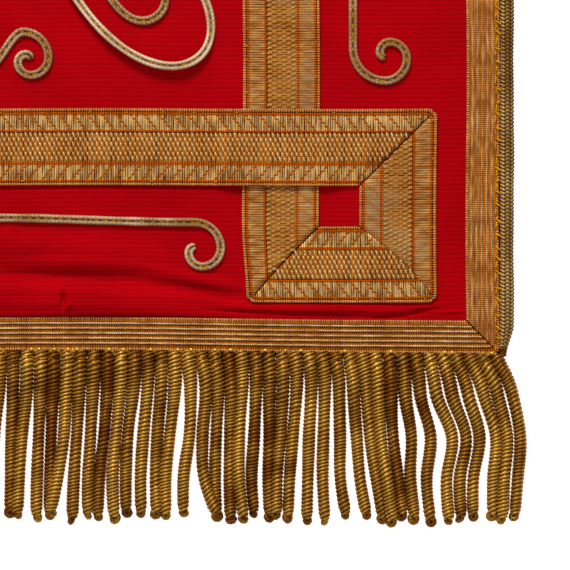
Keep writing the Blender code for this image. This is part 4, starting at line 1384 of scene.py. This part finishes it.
def loop_skin(middle, tone, uneven):
    """The small closed loop at a bullion's end, where the coil turns back on itself."""
    around = np.linspace(0.0, 2 * np.pi, END_RINGS)
    section = 2 * np.pi * np.arange(6) / 6
    groove = (np.arange(END_RINGS) % 2)[:, None]
    major = uneven.uniform(0.95, 1.35) * MM
    size = major * (1.0 - 0.12 * groove)
    tilt, turn = uneven.uniform(-1.3, 1.3), uneven.uniform(0, 3)
    ring = np.stack([
        (major + size * np.cos(section)) * np.cos(around)[:, None],
        (major + size * np.cos(section)) * np.sin(around)[:, None],
        size * np.sin(section) + np.zeros((END_RINGS, 1)),
    ], axis=-1)
    lean = np.array([[1, 0, 0], [0, math.cos(tilt), -math.sin(tilt)], [0, math.sin(tilt), math.cos(tilt)]])
    spin = np.array([[math.cos(turn), -math.sin(turn), 0], [math.sin(turn), math.cos(turn), 0], [0, 0, 1]])
    # painted shade: a loop is darker than its bullion, darkest inside and darker between its turns
    weave = np.full((END_RINGS, 7, 2), tone * 0.7)
    inside = np.cos(section[[0, 1, 2, 3, 4, 5, 0]]) < -0.6
    weave[:, :, 1] = np.where(inside, 0.2, 0.7 - 0.35 * groove)
    points = ring @ (spin @ lean).T + middle
    points[..., 2] += max(0.0, 0.02 * MM - points[..., 2].min())
    return Skin(points, weave, 0, False)


def curl_skin(x, y, wide, high):
    """A bright wire-wound arch that a bullion's coil throws up where it is sewn on."""
    share, groove = np.linspace(0.0, np.pi, CURL_RINGS), np.arange(CURL_RINGS) % 2
    arch = [-wide / 2 * np.cos(share), high * np.sin(share) - high, 2.6 * np.sin(share) + 2.4]
    line = np.stack(arch, axis=-1) * MM
    radius = 0.75 * MM * (1.0 - 0.16 * groove)
    # painted light: the arch takes the brightest tone, with painted shade between its turns
    weave = np.full((CURL_RINGS, 7, 2), 1.0)
    weave[:, :, 1] = (1.0 - 0.45 * groove)[:, None]
    return Skin(tube_rings(line + (x, y, 0.0), radius, 6), weave, 0, True)

# %% The heading
HEADING_RINGS = 61


def build_heading():
    """The tape that the bullions hang from, just showing below the border, dark as painted shade between
    roots.
    """
    x = np.linspace(-200.9, 200.9, HEADING_RINGS) * MM
    top, foot = border_low.y + 3.0 * MM + foot_bow(x), border_low.y - 2.6 * MM + foot_bow(x)
    y = np.stack([top, foot, foot, top], axis=-1)
    z = np.tile([1.5, 1.5, 0.1, 0.1], (HEADING_RINGS, 1)) * MM
    points = np.stack([np.broadcast_to(x[:, None], y.shape), y, z], axis=-1)
    weave = np.zeros((HEADING_RINGS, 5, 2))
    weave[..., 0] = x[:, None]
    tape = [Skin(points, weave, 0, True)]
    return make_piece("fringe_heading", tape, [LACE_SHADE], ["fringe"], smooth=False)

# %% [markdown]
# The bullions hang side by side from the heading, each a little different in height, sway and tone. They
# are joined to four pieces, so that no piece is too large.

# %% Hang the bullions
GROUPS = 4
CURL_SHARE = 0.5


def build_fringe():
    uneven = np.random.default_rng(14)
    roots = STRAND_SPAN * (np.arange(STRANDS) / (STRANDS - 1) - 0.5)
    groups = [[] for _ in range(GROUPS)]
    for k, root in enumerate(roots):
        group = groups[k * GROUPS // STRANDS]
        coil, line, tone = coil_skin(root, uneven, uneven.uniform(2.65, 3.7) * MM, STRAYS.get(k))
        foot = line[-1] + np.array([uneven.uniform(-0.5, 0.5), -0.9, 0.0]) * MM
        foot[2] = uneven.uniform(1.3, 2.6) * MM
        group += [coil, loop_skin(foot, tone, uneven)]
        if uneven.uniform() < CURL_SHARE:
            x, y = root + uneven.uniform(-1.5, 3.0) * MM, strand_root_y(root) + 0.3 * MM
            group.append(curl_skin(x, y, uneven.uniform(3.2, 5.0), uneven.uniform(2.0, 3.2)))
    made = [build_heading()]
    for k, group in enumerate(groups):
        made.append(make_piece(f"bullions_{k + 1}", group, [BULLION], ["fringe"], weld=True))
    return made


bullions = build_fringe()

# %% [markdown]
# ## Pieces on the cloth
# The cloth is one piece, and everything sewn to it rides on the banner with it. The galloons are pieces of
# their own, because each was cut from a roll and has its own flat size.

# %% [markdown]
# ## Floor
# A plain pale floor lies just under the banner. A white surface in full light would do, but this one also
# glows a little, so that it stays white where the banner's shadow falls.

# %% Lay the floor
def build_floor():
    made, shader = start_material("glowing_white_floor", roughness=0.9, specular=0.1)
    shader.inputs["Base Color"].default_value = linear("#F6F6F5")
    # painted light: the floor glows, so the banner's shadow on it stays faint
    shader.inputs["Emission Color"].default_value = linear("#FFFFFF")
    shader.inputs["Emission Strength"].default_value = 0.85
    grid = bmesh.new()
    bmesh.ops.create_grid(grid, x_segments=2, y_segments=2, size=3.0)
    mesh = bpy.data.meshes.new("floor")
    grid.to_mesh(mesh)
    grid.free()
    mesh.materials.append(made)
    floor = put_in_scene("floor", mesh)
    floor.location.z = -0.1 * MM


build_floor()
